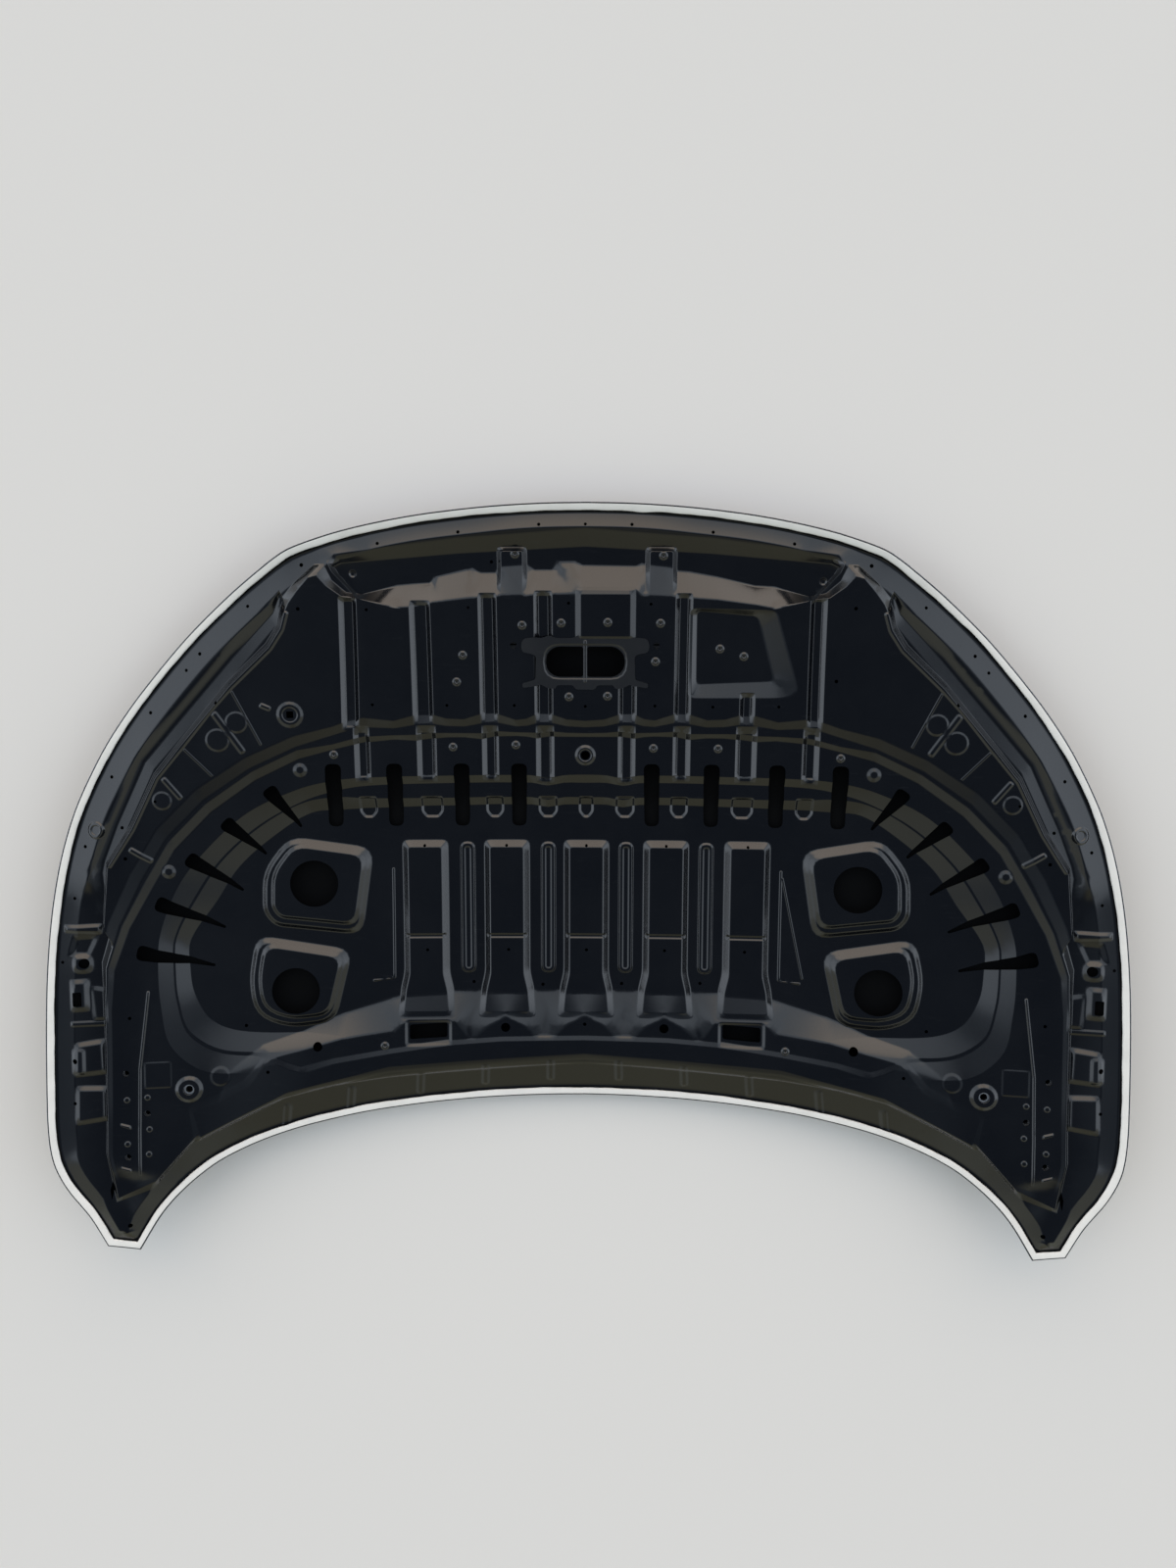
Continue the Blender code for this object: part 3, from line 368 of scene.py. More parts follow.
def pad(corners: Loop, wall: float, radius: float, height: float, press: Press = Press.BY_HEIGHT,
        fillet: float = 0.3, steps: int = 4) -> Form:
    """A pad or pocket from its plan corners.

    Args:
        corners: the plan corners of its foot.
        wall: the wall's width in plan.
        radius: corner radius of the foot.
        height: the height that it adds, or the level that it reaches.
        press: which of the two.
        fillet: share of the wall that each fillet takes.
        steps: pieces of each corner's curve.

    Returns:
        The form.
    """
    corners = turned_left(corners)
    outer = rounded(corners, radius, steps)
    inner = rounded(inset(corners, wall), max(radius - wall * 0.5, 1.5), steps)
    return Form(*stretched_pair(outer, inner, RING_STEP, False), height, press, fillet)


def round_pad(centre: Point, radius: float, wall: float, height: float, sides: int = 20,
              fillet: float = 0.3) -> Form:
    """A round boss, disc or dimple."""
    return Form(circle(centre, radius, sides), circle(centre, radius - wall, sides), height, Press.BY_HEIGHT, fillet)


def ridge_along(points: Loop, width: float, height: float, fillet: float = 0.4) -> Form:
    """A narrow rib along an open line.

    Args:
        points: the line.
        width: its width across the foot.
        height: the height that it adds.
        fillet: share of the wall that each fillet takes.

    Returns:
        The form.
    """
    left, right = [], []
    for k, p in enumerate(points):
        a = Vector(points[max(k - 1, 0)])
        b = Vector(points[min(k + 1, len(points) - 1)])
        across = (b - a).normalized().orthogonal() * width / 2
        left.append((p[0] + across.x, p[1] + across.y))
        right.append((p[0] - across.x, p[1] - across.y))
    return pad(left + right[::-1], width * 0.42, width * 0.4, height, fillet=fillet, steps=3)


# The bonnet's own form

@dataclass(frozen=True)
class Dish:
    """The outer skin's crowned form, given as the height of its outer face."""

    across: float = 0.00012
    to_nose: float = 0.00020
    to_rear: float = 0.00014
    centre_y: float = 10.0
    side_roll: float = 0.0006
    side_start: float = 602.0
    nose_roll: float = 0.0022
    nose_start: float = 403.0
    nose_sweep: float = 0.00038

    def under(self, x: np.ndarray, y: np.ndarray) -> np.ndarray:
        """Height of the skin's outer face at each plan point."""
        z = self.across * x * x + self.side_roll * np.clip(np.abs(x) - self.side_start, 0, None) ** 2
        run = y - self.centre_y
        z = z + np.where(run > 0, self.to_nose, self.to_rear) * run * run
        lip = y - (self.nose_start - self.nose_sweep * x * x)
        return z + self.nose_roll * np.clip(lip, 0, None) ** 2


@dataclass(frozen=True)
class Outline:
    """The bonnet's edge in plan, its right-hand half given in three runs.

    Attributes:
        half_width: reach of the side edge from the centre line.
        nose_reach: reach of the nose.
        rear_reach: reach of the rear edge on the centre line.
        foot_reach: reach of the feet.
        tip_width: width of a foot's tip.
        tip_inset: distance of the tip's inner corner from the side reach.
        tip_drop: how far the tip's outer corner lies ahead of the inner one.
        nose: distance from the centre line, and how far the edge has dropped back from the nose's reach.
        flank: distance from the side reach, and Y.
        rear: distance from the side reach, and how far it lies behind the rear's reach.
        step: spacing of the points.
    """

    half_width: float = 744.0
    nose_reach: float = 463.0
    rear_reach: float = 367.0
    foot_reach: float = 573.0
    tip_width: float = 43.0
    tip_inset: float = 118.0
    tip_drop: float = 9.0
    nose: tuple[Point, ...] = (
        (0, 0), (46, 0.7), (92, 2.8), (134, 6), (177, 10.6), (220, 16.4), (262, 23.8), (300, 32), (333, 40.6),
        (371, 53), (392, 61.4), (405.5, 69.4))
    flank: tuple[Point, ...] = (
        (320, 380.5), (277, 346.5), (234, 307.7), (201, 274.3), (157, 224), (128, 187.5), (98, 144), (73, 99),
        (52.7, 55.6), (38, 13.8), (27.2, -26.3), (17.6, -74.4), (10.8, -122), (5.8, -173), (2.8, -223.4), (1, -275),
        (0.1, -330), (0, -372), (2.2, -412), (7, -440), (16, -464), (27.6, -485.5), (41.4, -505.6), (53.4, -523.6))
    rear: tuple[Point, ...] = (
        (148, 157), (178, 124), (217, 93), (253, 73.5), (295.5, 56.5), (340, 43), (383, 33), (435, 23), (488, 15.7),
        (541, 9.8), (600, 5), (658, 2), (704, 0.6))
    step: float = 8.0

    def curve(self, points: Loop) -> Loop:
        """Points along a smooth open curve through the given points."""
        out = []
        last = len(points) - 1
        for k in range(last):
            before, start = Vector(points[max(k - 1, 0)]), Vector(points[k])
            end, after = Vector(points[k + 1]), Vector(points[min(k + 2, last)])
            pieces = max(1, round((end - start).length / self.step))
            for i in range(pieces):
                at = on_curve(before, start, end, after, i / pieces)
                out.append((min(at.x, self.half_width), at.y))
        out.append(points[last])
        return out

    def loop(self) -> Loop:
        """The whole edge, counter-clockwise."""
        side, front, back = self.half_width, self.nose_reach, self.rear_reach
        tip_inner = (side - self.tip_inset, -self.foot_reach)
        tip_outer = (side - self.tip_inset + self.tip_width, self.tip_drop - self.foot_reach)
        flank = [(x, front - drop) for x, drop in self.nose] + [(side - x, y) for x, y in self.flank] + [tip_outer]
        rear = [tip_inner] + [(side - x, -back - drop) for x, drop in self.rear] + [(0.0, -back)]
        half: Loop = []
        for section in (flank, [tip_outer, tip_inner], rear):
            points = self.curve(section)
            half += points if not half else points[1:]
        return turned_left(whole_loop(half))


DISH = Dish()
OUTLINE = Outline()


# Meshes

def plan_mesh(outline: Loop, holes: list[Loop], guides: list[Loop], step: float,
              clear: float) -> tuple[np.ndarray, list[list[int]]]:
    """Fills an outline with triangles that keep to the guide lines and leave the holes open.

    Args:
        outline: the edge.
        holes: the openings.
        guides: closed lines along which the mesh has edges.
        step: spacing of the points between the lines.
        clear: how far those points keep from every line.

    Returns:
        The plan points as an array, and the triangles.
    """
    points, edges = [], []
    for loop in [outline, *holes, *guides]:
        base, count = len(points), len(loop)
        points += [Vector(p) for p in loop]
        edges += [(base + i, base + (i + 1) % count) for i in range(count)]
    tree = KDTree(len(points))
    for i, p in enumerate(points):
        tree.insert((p.x, p.y, 0.0), i)
    tree.balance()
    xs, ys = [p[0] for p in outline], [p[1] for p in outline]
    count_x, count_y = math.ceil((max(xs) - min(xs)) / step), math.ceil((max(ys) - min(ys)) / step)
    i, j = np.meshgrid(np.arange(1, count_x), np.arange(1, count_y))
    gx = (min(xs) + (max(xs) - min(xs)) * (i + np.where(j % 2, 0.25, -0.25)) / count_x).ravel()
    gy = (min(ys) + (max(ys) - min(ys)) * j / count_y).ravel()
    free = inside_loop(gx, gy, outline)
    for x, y in zip(gx[free], gy[free]):
        if tree.find((x, y, 0.0))[2] > clear:
            points.append(Vector((x, y)))
    made = delaunay_2d_cdt(points, edges, [], 0, 0.01)
    flat = np.array([(v.x, v.y) for v in made[0]])
    faces = [list(f) for f in made[2]]
    middle = np.array([flat[f].mean(0) for f in faces])
    keep = inside_loop(middle[:, 0], middle[:, 1], outline)
    for hole in holes:
        low, high = np.min(hole, 0), np.max(hole, 0)
        near = np.flatnonzero(((middle > low) & (middle < high)).all(1))
        keep[near] &= ~inside_loop(middle[near, 0], middle[near, 1], hole)
    return flat, [f for f, ok in zip(faces, keep) if ok]


def sheet(name: str, plan: tuple[np.ndarray, list[list[int]]], height: Height, thickness: float) -> bpy.types.Object:
    """Lifts a plan mesh to its form, thickens it upward and gives it the form's own normals.

    Args:
        name: the piece's name.
        plan: the plan points and triangles.
        height: the lower face's height as a function of X and Y arrays.
        thickness: the sheet's thickness.

    Returns:
        The new object, in metres in the frame's place.
    """
    flat, faces = plan
    x, y = flat[:, 0], flat[:, 1]
    z = height(x, y)
    tiny = 0.05
    normals = np.stack([height(x - tiny, y) - height(x + tiny, y), height(x, y - tiny) - height(x, y + tiny),
                        np.full(len(x), 2 * tiny)], 1)
    normals /= np.linalg.norm(normals, axis=1)[:, None]
    bm = bmesh.new()
    layer = bm.verts.layers.float_vector.new("form_normal")
    made = {}
    for i in sorted({i for f in faces for i in f}):
        made[i] = bm.verts.new((x[i], y[i], z[i]))
        made[i][layer] = Vector(normals[i])
    for f in faces:
        bm.faces.new([made[i] for i in f])
    bmesh.ops.recalc_face_normals(bm, faces=bm.faces)
    if sum(f.normal.z for f in bm.faces) > 0:
        bmesh.ops.reverse_faces(bm, faces=bm.faces)
    top = bmesh.ops.extrude_face_region(bm, geom=bm.faces[:], use_keep_orig=True)
    lifted = [item for item in top["geom"] if isinstance(item, bmesh.types.BMVert)]
    bmesh.ops.translate(bm, verts=lifted, vec=(0, 0, thickness))
    bmesh.ops.recalc_face_normals(bm, faces=bm.faces)
    # The extrude makes its walls in another order on each run, so the faces are put in order by their centres.
    for rank, face in enumerate(sorted(bm.faces, key=lambda f: tuple(f.calc_center_median()))):
        face.index = rank
    bm.faces.sort()
    return finished(name, bm)


def finished(name: str, bm: bmesh.types.BMesh) -> bpy.types.Object:
    """Turns a mesh in millimetres into an object in metres, in the frame's place.

    Args:
        name: the piece's name.
        bm: the mesh, freed here.

    Returns:
        The object, linked to the scene, at the origin.
    """
    bmesh.ops.translate(bm, verts=bm.verts, vec=(0, ORIGIN_Y, 0))
    bmesh.ops.scale(bm, verts=bm.verts, vec=(MM, MM, MM))
    bmesh.ops.triangulate(bm, faces=bm.faces)
    mesh = bpy.data.meshes.new(name)
    bm.to_mesh(mesh)
    bm.free()
    mesh.shade_smooth()
    if "form_normal" in mesh.attributes:
        keep_form_normals(mesh)
    else:
        mesh.set_sharp_from_angle(angle=math.radians(40))
    item = bpy.data.objects.new(name, mesh)
    bpy.context.scene.collection.objects.link(item)
    LOG.info("%s: %d triangles", name, len(mesh.polygons))
    return item


def keep_form_normals(mesh: bpy.types.Mesh) -> None:
    """Gives each corner of a sheet the form's own normal, and the cut edges their faces' normals."""
    count = len(mesh.vertices)
    wanted = np.zeros(count * 3, np.float32)
    mesh.attributes["form_normal"].data.foreach_get("vector", wanted)
    wanted = wanted.reshape(-1, 3)
    corners = np.zeros(len(mesh.loops), np.int32)
    mesh.loops.foreach_get("vertex_index", corners)
    faces = np.zeros(len(mesh.polygons) * 3, np.float32)
    mesh.polygons.foreach_get("normal", faces)
    faces = np.repeat(faces.reshape(-1, 3), 3, axis=0)
    form = wanted[corners]
    known = (form ** 2).sum(1) > 0.5
    along = (form * faces).sum(1)
    chosen = np.where((known & (along > 0.5))[:, None], form, np.where((known & (along < -0.5))[:, None], -form, faces))
    mesh.normals_split_custom_set(chosen.astype(float).tolist())
    mesh.attributes.remove(mesh.attributes["form_normal"])


@dataclass
class InnerPanel:
    """The pressed inner panel: its lands, pads, grooves, beads and openings.

    Attributes:
        skin: thickness of the outer skin under it. Every level below is a height above that.
        thickness: thickness of the panel.
        edge_inset: how far inside the bonnet's edge the panel ends.
        hem_level: level of the rim in the hem.
        flange_start: distance from the edge at which the flange rises.
        flange_widths: distance from the edge at which it ends.
        flange_levels: level that it reaches.
        flank_trough: level of the troughs behind the side flange.
        facet_level: level of the slopes behind those troughs.
        trough_level: level of the trough behind the nose.
        field_level: level of the land round the striker.
        terrace_turn: distance from the centre line at which the terraces turn down the sides.
        ledge_levels: levels of the upper terrace.
        middle_level: level to which the rear cross member sinks at the sides.
        middle_levels: levels of the lower terrace.
        step_level: level of the ledge that the slots cut.
        bowl_level: level of the bowl's floor.
        cross_level: level of the cross member behind the bowl.
        beam_level: level of the beam along the rear edge.
        groove_depth: depth of the grooves across the striker's land.
        wall: width of their walls.
        forms: the forms in the order in which they are pressed.
        holes: the openings.
    """

    skin: float = 0.8
    thickness: float = 0.8
    edge_inset: float = 3.0
    hem_level: float = 0.8
    flange_start: float = 12.5
    flange_widths: Spots = ((0, 463, 33), (262, 439, 34), (330, 425, 37), (385, 405, 45), (486, 330, 46),
                            (576, 237, 46), (650, 137, 45), (704, 21, 44), (731, -106, 38), (744, -241, 38),
                            (744, -372, 38), (712, -492, 34), (680, -545, 28), (626, -573, 28), (590, -530, 34),
                            (547, -475, 54), (434, -419, 57), (316, -391, 57), (195, -376, 57), (0, -368, 57))
    flange_levels: Spots = ((0, 440, 12.5), (262, 420, 12.5), (365, 385, 15.5), (460, 300, 15.5), (550, 210, 15),
                            (625, 115, 15), (675, 10, 14.5), (705, -106, 7.5), (715, -241, 6), (715, -372, 6),
                            (690, -480, 9), (650, -540, 10), (590, -505, 13), (520, -440, 18), (434, -390, 19),
                            (195, -345, 19), (0, -338, 19))
    flank_trough: float = 9.0
    facet_level: float = 13.2
    trough_level: float = 4.5
    field_level: float = 27.0
    terrace_turn: float = 350.0
    ledge_levels: Spots = ((0, 120, 24), (400, 110, 24), (600, -50, 24), (640, -300, 20.5), (630, -430, 19.5),
                           (645, -490, 15), (500, -400, 19), (300, -320, 19.5), (0, -290, 19.5))
    middle_level: float = 20.0
    middle_levels: Spots = ((0, 110, 20.5), (400, 90, 20.5), (600, -60, 20), (610, -300, 19.5), (620, -430, 19.3),
                            (640, -490, 15), (500, -380, 19), (300, -300, 19.5), (0, -280, 19.5))
    step_level: float = 13.5
    bowl_level: float = 6.5
    cross_level: float = 22.3
    beam_level: float = 24.0
    groove_depth: float = 6.0
    wall: float = 7.5
    forms: list[Form] = field(default_factory=list)
    holes: list[Loop] = field(default_factory=list)

    def __post_init__(self) -> None:
        """Lists the forms in the order in which they are pressed, and the openings."""
        self.press_lands_outside()
        self.press_field()
        self.press_crown_beads()
        self.press_terraces()
        self.press_flanks()
        self.press_bowl()
        self.press_rear_beam()
        self.press_columns()
        self.press_dimples()
        self.pierce()

    def press_lands_outside(self) -> None:
        """The tilted flange round the edge, and the troughs behind it."""
        edge = np.array(OUTLINE.loop()[::2])
        inward = np.array(inset([tuple(p) for p in edge], 1)) - edge
        widths = blended(edge[:, 0], edge[:, 1], self.flange_widths)
        outer = [tuple(p) for p in edge + inward * self.flange_start]
        inner = [tuple(p) for p in edge + inward * widths[:, None]]
        self.forms.append(Form(outer, inner, 0, fillet=0.12, spots=self.flange_levels))
        outer = [(0, 430), (170, 417), (331, 396), (340, 386), (334, 372), (296, 330), (0, 300)]
        inner = [(0, 405), (168, 396), (322, 383), (332, 379), (327, 370), (290, 325), (0, 296)]
        self.forms.append(land(whole_loop(outer), whole_loop(inner), self.trough_level, curved=False, fillet=0.12))
        outer = [(403, 350), (423, 331), (482, 272), (561, 184), (608, 128), (650, 39), (672, -12), (680, -30),
                 (676, -95), (655, -100), (600, -10), (540, 90), (480, 160), (400, 250), (386, 300)]
        inner = [(405, 343), (413, 319), (472, 260), (550, 172), (597, 118), (638, 32), (658, -17), (662, -34),
                 (660, -80), (650, -90), (595, -10), (535, 86), (476, 154), (398, 244), (390, 300)]
        for a, b in ((outer, inner), (mirrored(outer), mirrored(inner))):
            self.forms.append(land(a, b, self.flank_trough, curved=False, fillet=0.12))
        outer = [(405, 342), (416, 319), (472.5, 259.5), (550.5, 171.5), (597, 117.5), (638, 32), (657, -17),
                 (661, -34), (658, -78), (648, -88), (594, -10), (534, 86), (475, 154), (397, 244), (391, 300)]
        inner = [(401, 328), (408, 304), (459, 247), (537, 159), (583, 108), (621, 30), (642, -20), (646, -34),
                 (644, -66), (636, -76), (586, -10), (528, 80), (470, 148), (393, 238), (388, 296)]
        for a, b in ((outer, inner), (mirrored(outer), mirrored(inner))):
            self.forms.append(land(a, b, self.facet_level, curved=False, fillet=0.12))
        for x, y in ((-309, 370), (314, 361)):
            self.forms.append(round_pad((x, y), 5.5, 3.2, -1.6))
        for left, right in ((-118, -77), (79, 122)):
            self.forms.append(pad(rectangle(left, right, 330, 406), 7, 6, 13, Press.TO_LEVEL, 0.15))

    def press_field(self) -> None:
        """The high land between nose and striker, with its stepped nose wall, its grooves and its pocket."""
        wall = [(-299, 343, 337), (-275, 350, 330), (-251, 357, 324), (-230, 359, 325), (-208, 360, 330),
                (-202, 368, 331), (-150, 381, 336), (-139, 374, 338), (-121, 374, 339), (-115, 383, 339),
                (-78, 386, 339), (-67, 378, 341), (-45, 378, 342), (-38, 390, 341), (-14, 390, 341), (-3, 384, 349),
                (66, 383, 348), (74, 387, 339), (113, 383, 338), (124, 377, 338), (138, 376, 337), (175, 369, 335),
                (225, 357, 329), (250, 356, 324), (275, 348, 330), (297, 341, 336)]
        corner = [((316, 346), (320, 339)), ((334, 362), (340, 353)), ((343, 384), (352, 366)),
                  ((357, 383), (362, 364)), ((382, 361), (378, 346)), ((400, 341), (390, 330))]
        flank = [((405, 327), (397, 316)), ((411, 303), (402, 298)), ((427, 279), (419, 273)),
                 ((481, 227), (474, 220)), ((548, 148), (541, 142)), ((585, 103), (577, 98)), ((620, 32), (612, 28)),
                 ((655, -20), (646, -25)), ((664, -110), (655, -110)), ((600, -250), (590, -245))]
        top, foot = [a for a, _ in corner + flank], [b for _, b in corner + flank]
        outer = [(x, high) for x, high, _ in wall] + top + mirrored(top[::-1])
        inner = [(x, low) for x, _, low in wall] + foot + mirrored(foot[::-1])
        self.forms.append(land(outer, inner, self.field_level, curved=False, fillet=0.14))
        grooves = [(-326, -301, -330, -305, 341), (-234, -205, -234, -205, 336), (-143, -117, -143, -117, 346),
                   (-69, -43, -69, -43, 349), (44, 70, 44, 70, 232), (119, 143, 119, 143, 346),
                   (295, 318, 297, 320, 342)]
        for front_left, front_right, rear_left, rear_right, front in grooves:
            corners = [(rear_left, 160), (rear_right, 160), (front_right, front), (front_left, front)]
            self.forms.append(pad(corners, self.wall, 4, -self.groove_depth, fillet=0.15))
        self.forms.append(pad(rectangle(207, 229, 160, 214), self.wall, 4, -self.groove_depth, fillet=0.15))
        self.forms.append(pad(rectangle(-14, 68, 280, 352), 9, 5, 3.4, fillet=0.15))
        pocket = [(138, 204), (272, 204), (288, 216), (254, 324), (138, 326)]
        floor = [(150, 226), (240, 231), (250, 232), (227, 315), (149, 322)]
        pair = stretched_pair(rounded(turned_left(pocket), 9), rounded(turned_left(floor), 6), RING_STEP, False)
        self.forms.append(Form(*pair, -self.groove_depth - 1, Press.BY_HEIGHT, 0.15))

    def press_crown_beads(self) -> None:
        """The beads along the crests of the side fans."""
        crest = [(393, 322), (401, 297), (418, 272), (473, 220), (499, 192), (540, 142), (577, 98), (612, 28),
                 (646, -24)]
        for line in (crest, mirrored(crest)[::-1]):
            self.forms.append(ridge_along(line, 9, 2.2))

    def press_terraces(self) -> None:
        """The two stepped walls that run across behind the field and round to the hinge columns."""
        side = [((395, 156), (390, 120)), ((461, 127), (449, 91)), ((528, 84), (510, 47)), ((582, 30), (560, -4)),
                ((620, -32), (592, -58)), ((650, -99), (624, -112)), ((668, -160), (646, -170)),
                ((668, -220), (652, -225)), ((668, -430), (655, -430)), ((655, -500), (646, -484)),
                ((604, -484), (598, -460)), ((544, -412), (531, -390)), ((434, -360), (425, -340)),
                ((277, -322), (277, -304)), ((0, -304), (0, -288))]
        front = [((0, 175), (0, 151)), ((25, 177), (25, 151)), ((47, 185), (47, 151)), ((65, 186), (65, 148)),
                 ((80, 178), (80, 151)), ((94, 176), (94, 152)), ((122, 186), (122, 151)), ((140, 186), (140, 147)),
                 ((165, 177), (165, 150)), ((188, 178), (188, 150)), ((207, 184), (207, 148)),
                 ((230, 184), (230, 145)), ((260, 175), (260, 147)), ((300, 180), (300, 143)),
                 ((320, 176), (320, 139)), ((345, 167), (345, 133))]
        top = whole_loop([a for a, _ in front + side])
        foot = whole_loop([b for _, b in front + side])
        ledge_end = self.part_way(top, foot, 0.45, 0.56)
        middle_start = self.part_way(top, foot, 0.74, 0.58)
        for outer, inner, levels in ((top, ledge_end, self.ledge_levels), (middle_start, foot, self.middle_levels)):
            self.forms.append(Form(*stretched_pair(outer, inner, LAND_STEP, False), 0, fillet=0.2, spots=levels))
        for left, right in ((-313, -296), (-228, -206), (-139, -121), (-65, -45), (47, 66), (122, 141), (207, 231),
                            (297, 315)):
            rear = 82 if abs(left + right) < 130 else 86
            outer = rectangle(left - 3, right + 3, rear, 168)
            inner = rectangle(left + 4.5, right - 4.5, rear + 11.5, 156)
            self.forms.append(Form(*stretched_pair(outer, inner, RING_STEP, False), -self.groove_depth + 0.8,
                                   Press.BY_HEIGHT, 0.15))
        self.forms.append(round_pad((0, 126), 15, 5, 2.4))
        self.forms.append(round_pad((0, 126), 9.5, 2.5, -1.2))
        brow = [(0, 99), (30, 98), (52, 94), (75, 98), (210, 97), (300, 95), (345, 91), (395, 79), (464, 47),
                (523, -6), (560, -54), (586, -120), (591, -165), (589, -225), (575, -285), (520, -322), (345, -309),
                (250, -304), (0, -304)]
        ledge = [(0, 86), (30, 86), (52, 82), (75, 86), (210, 85), (300, 82), (340, 76), (388, 61), (447, 29),
                 (501, -18), (536, -67), (568, -128), (571, -168), (568, -220), (552, -268), (498, -296), (345, -299),
                 (250, -298), (0, -298)]
        self.forms.append(land(whole_loop(brow), whole_loop(ledge), self.step_level, fillet=0.06))
        edge = [(0, 66), (30, 66), (52, 62), (75, 66), (210, 65), (300, 65), (340, 67), (387, 60), (446, 28.5),
                (500, -18.5), (535, -67.5), (567, -128.5), (570, -168), (567, -219), (551, -266), (497, -294),
                (345, -290), (250, -293), (0, -293)]
        foot = [(0, 54), (30, 54), (52, 50), (75, 54), (210, 52), (300, 49), (340, 47), (380, 43), (430, 12),
                (479, -31), (511, -79), (549, -134), (551, -170), (546, -210), (524, -248), (478, -266), (350, -272),
                (250, -286), (0, -287)]
        self.forms.append(land(whole_loop(edge), whole_loop(foot), self.bowl_level, fillet=0.06))
        for x, width in ((-301, 26), (-213, 32), (-126, 26), (-52, 28), (1, 22), (55, 28), (130, 26), (217, 32),
                         (302, 26)):
            half = width / 2
            corners = [(x - half, 68), (x - half, 44), (x - half + 7, 35), (x + half - 7, 35),
                       (x + half, 44), (x + half, 68)]
            self.forms.append(pad(corners, 4.5, 4, -2.6))

    def part_way(self, top: Loop, foot: Loop, ahead: float, round_side: float) -> Loop:
        """The line between a wall's top and its foot.

        Args:
            top: the wall's top.
            foot: the wall's foot, matching the top point for point.
            ahead: share of the way from top to foot where the wall runs across the panel.
            round_side: the same where it turns down the sides.

        Returns:
            The line, point for point.
        """
        line = []
        for a, b in zip(top, foot):
            share = ahead if abs(a[0]) < self.terrace_turn else round_side
            line.append((a[0] + (b[0] - a[0]) * share, a[1] + (b[1] - a[1]) * share))
        return line

    def press_flanks(self) -> None:
        """The ribs, discs and bosses of the side fans."""
        ribs = [((472, 216), (437, 141), 4.5, 0.7), ((498, 188), (460, 130), 12, 1.6),
                ((539, 138), (503, 99), 4.5, 0.7), ((569, 99), (545, 68), 10, 1.6), ((618, 2), (588, -18), 10, 1.6)]
        for start, end, width, height in ribs:
            for line in ([start, end], mirrored([start, end])):
                self.forms.append(ridge_along(line, width, height))
        for x, y, radius in ((494, 149, 17), (468, 173, 16), (571, 67, 14)):
            for side in Side:
                self.forms.append(round_pad((side.value * x, y), radius, 4.5, 1.1))
        self.forms.append(round_pad((-397, 183), 19, 6, 2))
        self.forms.append(round_pad((-397, 183), 11.5, 3, -1.2))
        self.forms.append(ridge_along([(-437, 197), (-421, 190)], 9, 1.6))
        for x, y in ((-389, 106), (391, 103), (-570, -33), (570, -33)):
            self.forms.append(round_pad((x, y), 11, 7.5, 2.2))
        for side in Side:
            self.forms.append(round_pad((side.value * 664, 26), 13, 4, 1.8))
            self.forms.append(round_pad((side.value * 664, 26), 8, 3, -1.8))

    def press_bowl(self) -> None:
        """The ladder pads, beads, corner lines and pods of the bowl's floor."""
        for x in (-224, -110, 1.5, 113, 226):
            corners = [(x - 42, -250), (x + 42, -250), (x + 38.4, -209.5), (x + 33, -186), (x + 33, 5),
                       (x - 33, 5), (x - 33, -186), (x - 38.4, -209.5)]
            self.forms.append(pad(corners, 11, 9, 8.5, fillet=0.22))
            self.forms.append(ridge_along([(x - 29, -132), (x + 29, -132)], 8, -1.4))
        for x in (-165, -52, 57, 169):
            self.forms.append(pad(rectangle(x - 11, x + 11, -188, 2), 3.6, 10.5, 2.2, fillet=0.35))
            self.forms.append(pad(rectangle(x - 5.4, x + 5.4, -182, -4), 3.2, 5.2, -0.9, fillet=0.35))
        for line in ([(-269, -35), (-270, -195), (-301, -198)], [(273, -36), (273, -195), (304, -198)]):
            self.forms.append(ridge_along(line, 5, 0.8))
        self.forms.append(ridge_along([(275, -46), (306, -192)], 4, 0.6))
        pods = [[(-412, 12), (-294, -6), (-313, -133), (-436, -118), (-452, -96), (-450, -38)],
                [(298, -8), (410, 13), (450, -38), (452, -98), (437, -118), (318, -134)],
                [(-462, -128), (-327, -152), (-353, -258), (-420, -265), (-466, -245), (-474, -196)],
                [(330, -151), (460, -127), (474, -190), (464, -244), (422, -262), (354, -258)]]
        for corners in pods:
            loop = turned_left(corners)
            middle = Vector((sum(p[0] for p in loop) / len(loop), sum(p[1] for p in loop) / len(loop)))
            self.forms.append(pad(loop, 9, 24, 5.2))
            shift = Vector((-math.copysign(3.2, middle.x), 3.2))
            second = [tuple(Vector(p) + shift) for p in inset(loop, 10)]
            self.forms.append(pad(second, 7.5, 20, 4.6))

